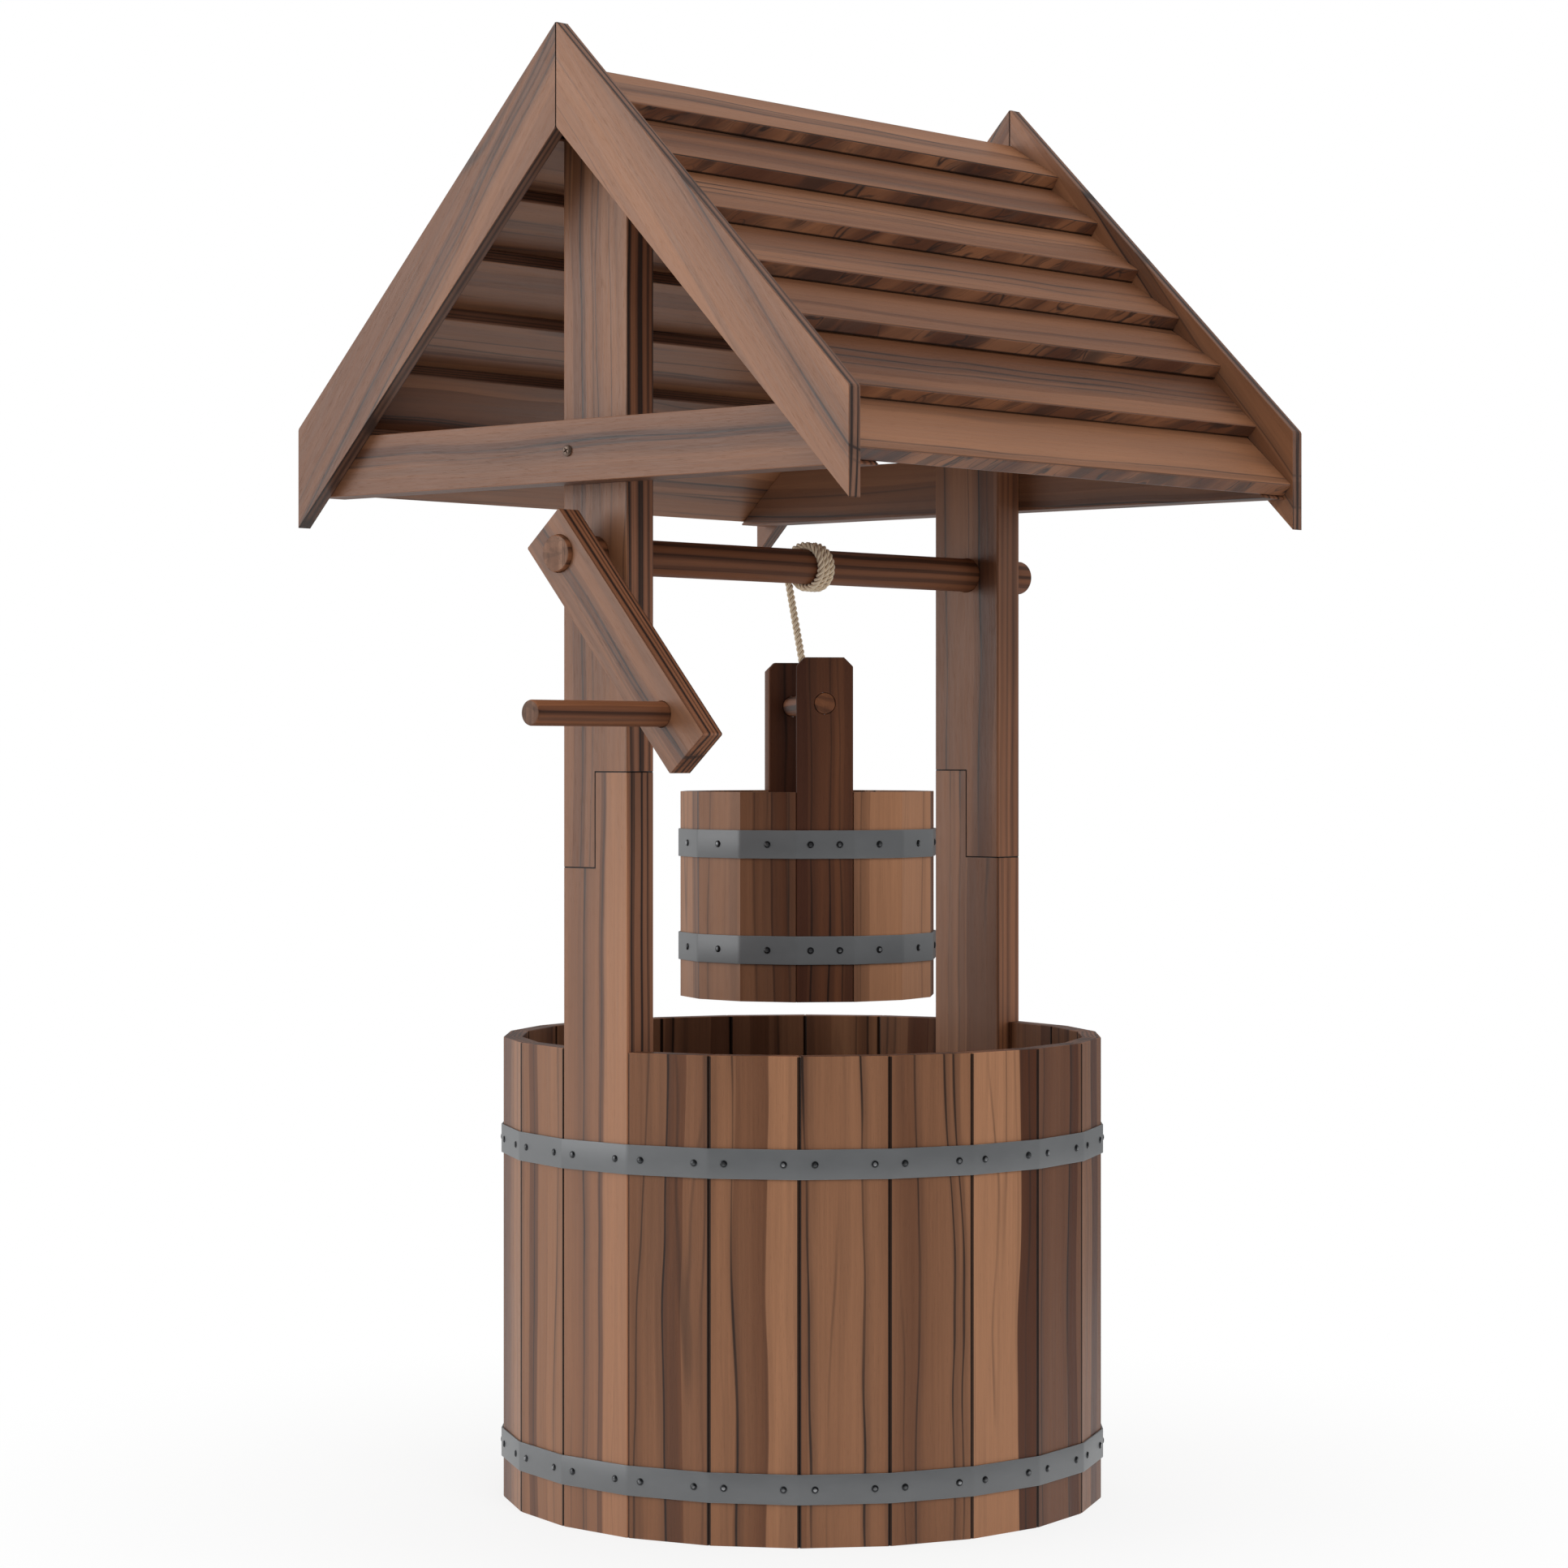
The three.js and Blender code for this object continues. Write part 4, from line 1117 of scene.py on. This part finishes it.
class WELL_OT_rope(WellOperator, bpy.types.Operator):
    """Lay the rope: its turns on the shaft, its drop and its knot"""

    bl_idname = "well.rope"
    bl_label = "Rope"

    def execute(self, context):
        rope = settings().rope
        material = finish("laid_fibre", laid_fibre, rope)
        turns = winding_route()
        drop = smooth_route(ROPE_ROUTE, 0.002)
        made = laid_rope("rope_whole", [turns + drop[1:]], material)
        reach = route_length(turns)
        winding = self.stretch(made, "rope_turns_on_shaft", reach, False)
        falling = self.stretch(made, "rope_drop_to_bucket", reach, True)
        drop_object(made)

        finish_piece(winding, material, "windlass", "rope", "rope_winding")
        route_length(turns)
        knot = self.knot(material)
        finish_piece(falling, material, None, "rope", "bucket_rope")
        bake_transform(falling)
        route_length(drop)
        return {"FINISHED"}

    def stretch(self, whole, name, reach, beyond):
        """The rope on one side of a length, with its cut closed"""
        bm = bmesh.new()
        bm.from_mesh(whole.data)
        layer = bm.verts.layers.float_vector["strand"]
        past = {f: sum(v[layer][0] for v in f.verts) / len(f.verts) > reach for f in bm.faces}
        gone = [face for face in bm.faces if past[face] != beyond]
        bmesh.ops.delete(bm, geom=gone, context="FACES")
        close_holes(bm)
        return smooth_round(new_object(name, bm), None)

    def knot(self, material, steps=70):
        """A stopper knot under the dowel: two wraps round the rope, whose end comes out below"""
        middle = Vector(ROPE_ROUTE[-1])
        wraps = []
        for t in (i / steps for i in range(steps + 1)):
            angle = math.tau * 2.35 * t + 0.6
            ease = min(1.0, t / 0.14, (1 - t) / 0.14)
            radius = 0.0012 + 0.0040 * math.sin(ease * math.pi / 2)
            spot = (radius * math.cos(angle), radius * math.sin(angle), 0.0036 - 0.0078 * t)
            wraps.append(middle + Vector(spot))
        end = [middle - 0.0005 * i * Z_AXIS for i in range(20)]
        end += [end[-1] + Vector((0.0002 * i, -0.00004 * i * i, -0.0006 * i)) for i in range(1, 9)]
        made = laid_rope("rope_knot", [wraps, end], material)
        return finish_piece(made, material, "rope_drop", "rope")


class WELL_OT_tub(WellOperator, bpy.types.Operator):
    """Make the tub's staves and its floor"""

    bl_idname = "well.tub"
    bl_label = "Tub"

    def execute(self, context):
        well = settings()
        wood = finish("tub_hardwood", hardwood, well.tub)
        sides = [side for side in range(TUB.sides) if side not in POST_SIDES]
        for number, side in enumerate(sides, 1):
            node = f"tub_stave_{number:02d}"
            tone = random.Random("tone of " + node).uniform(-0.12, 0.12)
            across = TUB.ways(side)[1]
            wooden_board(node, Z_AXIS, across, STAVE_THICKNESS, tone, wood, "tub_wood", joints=upright_edges)
        made = new_object("tub_floor_boards", eased_copy("tub_floor", SWELLING))
        mark_wood(made, self.floor_boards())
        wood = finish("floor_hardwood", hardwood, well.floor)
        finish_piece(made, wood, "well", "floor_wood", "tub_floor")
        return {"FINISHED"}

    def floor_boards(self, count=5, gap=0.004):
        """The boards along X and the battens under them"""
        low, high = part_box("tub_floor")
        pitch = (high.y - low.y + gap) / count
        boards = []
        for i in range(count):
            start = low.y + i * pitch - gap / 2
            test = lambda c, a=start: (c[:, 2] > BATTEN_TOP) & (c[:, 1] >= a) & (c[:, 1] < a + pitch)
            centre = (0, start + pitch / 2, 0.027)
            boards.append((test, X_AXIS, Y_AXIS, centre, FLOOR_THICKNESS, FLOOR_TONE, f"floor board {i}"))
        for x in BATTENS:
            test = lambda c, x=x: (c[:, 2] <= BATTEN_TOP) & (abs(c[:, 0] - x) < 0.05)
            centre = (x, 0, BATTEN_THICKNESS / 2)
            boards.append((test, Y_AXIS, X_AXIS, centre, BATTEN_THICKNESS, FLOOR_TONE, f"batten {x}"))
        return boards


class WELL_OT_posts(WellOperator, bpy.types.Operator):
    """Make the posts and the tie beams"""

    bl_idname = "well.posts"
    bl_label = "Posts"

    def execute(self, context):
        wood = finish("post_hardwood", hardwood, settings().posts)
        for end, tone in (("crank", 0.0), ("far", -0.12)):
            # shade multiplies the narrow faces' colour. On the crank posts it is a tone, darker below and
            # lighter above. On the far posts (1.3) it is partly a lighter tone and partly painted light,
            # making up for the weaker light on their -Y faces
            for part, lighter, shade in (("lower", 0.05, 0.8), ("upper", 0.0, 1.15)):
                wooden_board(
                    f"post_{part}_{end}", Z_AXIS, -Y_AXIS, POST_THICKNESS, tone + lighter, wood,
                    "post_wood", joints=lap_edges, sides=(1.0, shade) if end == "crank" else (0.35, 1.3),
                )
            wooden_board(f"tie_beam_{end}", Y_AXIS, Z_AXIS, BEAM_THICKNESS, 0.05, wood, "post_wood")
        return {"FINISHED"}


class WELL_OT_roof(WellOperator, bpy.types.Operator):
    """Make the roof's slats and bargeboards"""

    bl_idname = "well.roof"
    bl_label = "Roof"

    def execute(self, context):
        wood = finish("roof_hardwood", hardwood, settings().roof)
        for slope, sign in (("front", -1), ("back", 1)):
            for number in range(1, 8):
                node = f"slat_{slope}_{number}"
                down = self.run_down(node, sign)
                tone = random.Random("tone of " + node).uniform(-0.14, 0.1) + (0.1 if sign > 0 else 0.0)
                wooden_board(
                    node, X_AXIS, down, SLAT_THICKNESS, tone, wood, "roof_wood", marbled=down,
                    joints=under_edges if number < 7 else None,
                )
            for end in ("crank", "far"):
                node = f"bargeboard_{end}_{slope}"
                low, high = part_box(node)
                down = Vector((0, sign * (high.y - low.y), low.z - high.z))
                across = down.cross(X_AXIS)
                wooden_board(
                    node, down, across, BARGEBOARD_THICKNESS, 0.06, wood, "roof_wood", joints=ridge_edges
                )
        return {"FINISHED"}

    def run_down(self, node, sign):
        """The direction down a slat's face, square to its length"""
        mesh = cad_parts[node].data
        top = max(mesh.polygons, key=lambda p: p.area if p.normal.z > 0.3 else 0)
        down = X_AXIS.cross(top.normal)
        return down if down.y * sign > 0 else -down


class WELL_OT_windlass(WellOperator, bpy.types.Operator):
    """Make the shaft, the crank arm and the handle"""

    bl_idname = "well.windlass"
    bl_label = "Windlass"

    def execute(self, context):
        self.bar("windlass_shaft", SHAFT_RADIUS, 0.0012, 0.0012, 0.0, (0.35, 0.7))
        self.bar("crank_handle", HANDLE_RADIUS, 0.0018, 0.0004, -0.35, (0.1, 0.8))
        arm = ARM_END - SHAFT_HEIGHT * Z_AXIS
        wood = finish("post_hardwood", hardwood, settings().posts)
        across = arm.cross(X_AXIS)
        wooden_board("crank_arm", arm, across, ARM_THICKNESS, 0.0, wood, "post_wood", "windlass")
        return {"FINISHED"}

    def bar(self, node, radius, near, far, tone, end_grain, steps=24):
        """A round bar along X. near and far are the rounding of its ends"""
        low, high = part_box(node)
        centre = (low + high) / 2
        barrel = [(low.x + (high.x - low.x) * i / steps, radius) for i in range(1, steps)]
        stop = rounded_end(high.x, radius, far, 1)[::-1]
        made = lathe(node + "_turned", rounded_end(low.x, radius, near, -1) + barrel + stop)
        made.data.transform(Matrix.Translation((0, centre.y, centre.z)))
        mark_wood(made, [(None, X_AXIS, Y_AXIS, centre, radius, tone, node)], end_grain=end_grain)
        wood = finish("turned_hardwood", hardwood, settings().turned)
        finish_piece(made, wood, "windlass", "turned_wood", node)


class WELL_OT_bucket(WellOperator, bpy.types.Operator):
    """Make the bucket's staves, lugs, floor and dowel"""

    bl_idname = "well.bucket"
    bl_label = "Bucket"

    def execute(self, context):
        well = settings()
        wood = finish("tub_hardwood", hardwood, well.tub)
        dark = finish("turned_hardwood", hardwood, well.turned)
        self.staves("bucket_staves_left", range(1, 7), wood)
        self.staves("bucket_staves_right", range(8, 14), wood)
        for node, side in zip(("bucket_lug_back", "bucket_lug_front"), LUG_SIDES):
            across = BUCKET.ways(side)[1]
            wooden_board(node, Z_AXIS, across, BUCKET_STAVE, -0.3, dark, "turned_wood", "bucket")
        node = "bucket_floor"
        made = new_object(node + "_boards", eased_copy(node))
        out, sideways = BUCKET.ways(0)
        mark_wood(made, [(None, sideways, out, node_centre(node), BUCKET_FLOOR_THICKNESS, -0.1, node)])
        wood = finish("floor_hardwood", hardwood, well.floor)
        finish_piece(made, wood, "bucket", "floor_wood", node)
        self.dowel(dark)
        return {"FINISHED"}

    def staves(self, node, sides, wood):
        """Six staves of one half, each a closed board with eased edges"""
        low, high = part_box(node)
        gap = JOINT_GAP / (10 * math.cos(BUCKET.half))
        depths = (BUCKET.flat - BUCKET_STAVE, BUCKET.flat)
        (inner, narrow), (outer, wide) = ((d, d * math.tan(BUCKET.half) - gap) for d in depths)
        bm = bmesh.new()
        boards = []
        for side in sides:
            out, sideways = BUCKET.ways(side)
            corners = ((inner, -narrow), (outer, -wide), (outer, wide), (inner, narrow))
            outline = [BUCKET.centre + out * x + sideways * y for x, y in corners]
            bottom, top = skin(bm, [[spot + Z_AXIS * z for spot in outline] for z in (low.z, high.z)])
            bm.faces.new(bottom[::-1])
            bm.faces.new(top)
            centre = BUCKET.centre + out * outer + Z_AXIS * (low.z + high.z) / 2
            test = lambda c, side=side: self.side_of(c) == side
            tone = random.Random(f"tone of {side}").uniform(-0.2, 0.4)
            boards.append((test, Z_AXIS, sideways, centre, BUCKET_STAVE, tone, f"{node} {side}"))
        ease_edges(bm)
        made = new_object(node + "_wood", bm)
        mark_wood(made, boards, joints=upright_edges)
        finish_piece(made, wood, "bucket", "tub_wood", node)

    def side_of(self, centres):
        """The number of the side that each face centre lies in"""
        x, y = (centres[:, :2] - BUCKET.centre.xy).T
        angle = np.arctan2(y, x) - BUCKET.turn
        return np.round(angle / (2 * BUCKET.half)).astype(int) % BUCKET.sides

    def dowel(self, wood, easing=0.0008):
        """The dowel through both lugs, bored for the rope"""
        node = "bucket_dowel"
        centre = node_centre(node)
        out, sideways = BUCKET.ways(0)
        run = [(v.co - centre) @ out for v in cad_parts[node].data.vertices]
        near, far = min(run), max(run)
        steps = ((0.003, DOWEL_RADIUS), (0.0032, DOWEL_COLLAR), (0.009, DOWEL_COLLAR), (0.0092, DOWEL_RADIUS))
        profile = rounded_end(near, DOWEL_RADIUS, easing, -1)
        profile += [(near + step, radius) for step, radius in steps]
        profile += [(far - step, radius) for step, radius in steps[::-1]]
        profile += rounded_end(far, DOWEL_RADIUS, easing, 1)[::-1]
        made = lathe(node + "_turned", profile)
        made.data.transform(Matrix.Translation(centre) @ Matrix.Rotation(BUCKET.turn, 4, "Z"))
        bm = bmesh.new()
        bmesh.ops.create_cone(
            bm, cap_ends=True, segments=32, radius1=ROPE_HOLE, radius2=ROPE_HOLE, depth=0.03
        )
        drill = new_object("drill", bm)
        drill.data.transform(Matrix.Translation((*DOWEL_HOLE[:2], centre.z)))
        hole = made.modifiers.new("hole", "BOOLEAN")
        hole.operation = "DIFFERENCE"
        hole.object = drill
        hole.solver = "EXACT"
        made = smooth_round(settle(made))
        drop_object(drill)
        mark_wood(made, [(None, out, sideways, centre, DOWEL_RADIUS, 0.0, node)], end_grain=(0.0, 0.0))
        finish_piece(made, wood, "rope_drop", "turned_wood", node)


class WELL_OT_hoops(WellOperator, bpy.types.Operator):
    """Make the steel hoops and their rivets"""

    bl_idname = "well.hoops"
    bl_label = "Hoops"

    def execute(self, context):
        well = settings()
        steel = finish("painted_steel", painted_steel, well.steel)
        rivet_steel = finish("rivet_steel", painted_steel, well.rivets)
        hooped = (("tub", TUB, "well"), ("bucket", BUCKET, "bucket"))
        for piece, ring, body in hooped:
            for node in (piece + "_hoop_lower", piece + "_hoop_upper"):
                self.band(node, ring, body, steel)
        for piece, ring, body in hooped:
            spots = self.spots(piece + "_hoop_lower", ring) + self.spots(piece + "_hoop_upper", ring)
            size = well.rivet_diameter, well.rivet_height
            made = place_heads(piece + "_rivets", dome_head("rivet_head"), spots, *size, rivet_steel)
            finish_piece(made, rivet_steel, body, "hoop_steel")
        return {"FINISHED"}

    def band(self, node, ring, body, steel):
        """A strap bent round the staves, softly at each corner"""
        low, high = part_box(node)
        inner = ring.flat + JOINT_GAP
        outer = inner + settings().strap_thickness
        rims = []
        for radius, height in ((inner, low.z), (outer, low.z), (outer, high.z), (inner, high.z)):
            rim = []
            for side in range(ring.sides):
                out, sideways = ring.ways(side)
                corner = ring.centre + radius * (out + sideways * math.tan(ring.half)) + height * Z_AXIS
                back = corner - sideways * HOOP_BEND
                ahead = corner + ring.ways(side + 1)[1] * HOOP_BEND
                for t in (0.0, 0.33, 0.67, 1.0):
                    rim.append(back.lerp(corner, t).lerp(corner.lerp(ahead, t), t))
            rims.append(rim)
        bm = bmesh.new()
        skin(bm, rims, closed=True)
        bmesh.ops.recalc_face_normals(bm, faces=bm.faces)
        sharp = [e for e in bm.edges if e.calc_face_angle(0) > math.radians(60)]
        bmesh.ops.bevel(
            bm, geom=sharp, offset=0.00035, segments=2, profile=0.5, affect="EDGES", clamp_overlap=True
        )
        made = smooth_round(new_object(node + "_strap", bm), 24)
        worn = [(0, 0, 0.2 < abs(p.normal.z) < 0.98) for p in made.data.polygons]
        store(made.data, "look", "FACE", worn)
        finish_piece(made, steel, body, "hoop_steel", node)

    def spots(self, node, ring):
        """Where the rivets of one hoop sit, and which way they face"""
        low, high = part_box(node)
        outer = ring.flat + JOINT_GAP + settings().strap_thickness
        spots = []
        for side in range(ring.sides):
            out, sideways = ring.ways(side)
            places = TUB_RIVETS
            if ring is BUCKET:
                places = LUG_RIVETS if side in LUG_SIDES else (0.0,)
            for place in places:
                level = Z_AXIS * (low.z + high.z) / 2
                spots.append((ring.centre + out * outer + sideways * place + level, out, 0.0))
        return spots


class WELL_OT_screws(WellOperator, bpy.types.Operator):
    """Drive the screws that hold the tie beams"""

    bl_idname = "well.screws"
    bl_label = "Screws"

    def execute(self, context):
        well = settings()
        steel = finish("screw_steel", painted_steel, well.screws)
        spots = []
        for end, corner, way in (("crank", 0, -X_AXIS), ("far", 1, X_AXIS)):
            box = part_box(f"tie_beam_{end}")
            spots.append((Vector((box[corner].x, 0, (box[0].z + box[1].z) / 2)), way, 0.5))
        head = cross_head("screw_head")
        made = place_heads("tie_beam_screws", head, spots, well.screw_diameter, SCREW_HEIGHT, steel)
        store(made.data, "look", "FACE", np.tile((0, 0, 0.3), (len(made.data.polygons), 1)))
        finish_piece(made, steel, "well", "hoop_steel")
        return {"FINISHED"}


class WELL_PT_panel(bpy.types.Panel):
    """Shows the well's settings and a button for each operator"""

    bl_idname = "WELL_PT_panel"
    bl_label = "Wishing Well"
    bl_space_type = "VIEW_3D"
    bl_region_type = "UI"
    bl_category = "Wishing Well"

    def draw(self, context):
        layout = self.layout
        well = settings()
        for key in ("easing", "rivet_diameter", "rivet_height", "strap_thickness", "screw_diameter"):
            layout.prop(well, key)
        for key in ("tub", "posts", "roof", "turned", "floor"):
            box = layout.box()
            box.label(text=key.capitalize())
            for name in ("light", "dark", "streak", "smoke", "roughness"):
                box.prop(getattr(well, key), name)
        for name in ("light", "dark", "metal", "roughness"):
            layout.prop(well.steel, name)
        for name in ("diameter", "strands", "lay", "light", "dark"):
            layout.prop(well.rope, name)
        for operator in OPERATORS:
            layout.operator(operator.bl_idname)


OPERATORS = (
    WELL_OT_stage, WELL_OT_rope, WELL_OT_tub, WELL_OT_posts, WELL_OT_roof,
    WELL_OT_windlass, WELL_OT_bucket, WELL_OT_hoops, WELL_OT_screws,
)
CLASSES = (WoodFinishSettings, SteelFinishSettings, RopeSettings, WellSettings, *OPERATORS, WELL_PT_panel)


def register():
    for each in CLASSES:
        bpy.utils.register_class(each)
    bpy.types.Scene.wishing_well = PointerProperty(type=WellSettings)


def unregister():
    del bpy.types.Scene.wishing_well
    for each in reversed(CLASSES):
        bpy.utils.unregister_class(each)


def main():
    register()
    tune_finishes(settings())
    bpy.ops.well.stage()
    bpy.ops.well.rope()
    bpy.ops.well.tub()
    bpy.ops.well.posts()
    bpy.ops.well.roof()
    bpy.ops.well.windlass()
    bpy.ops.well.bucket()
    bpy.ops.well.hoops()
    bpy.ops.well.screws()


if __name__ == "__main__":
    main()
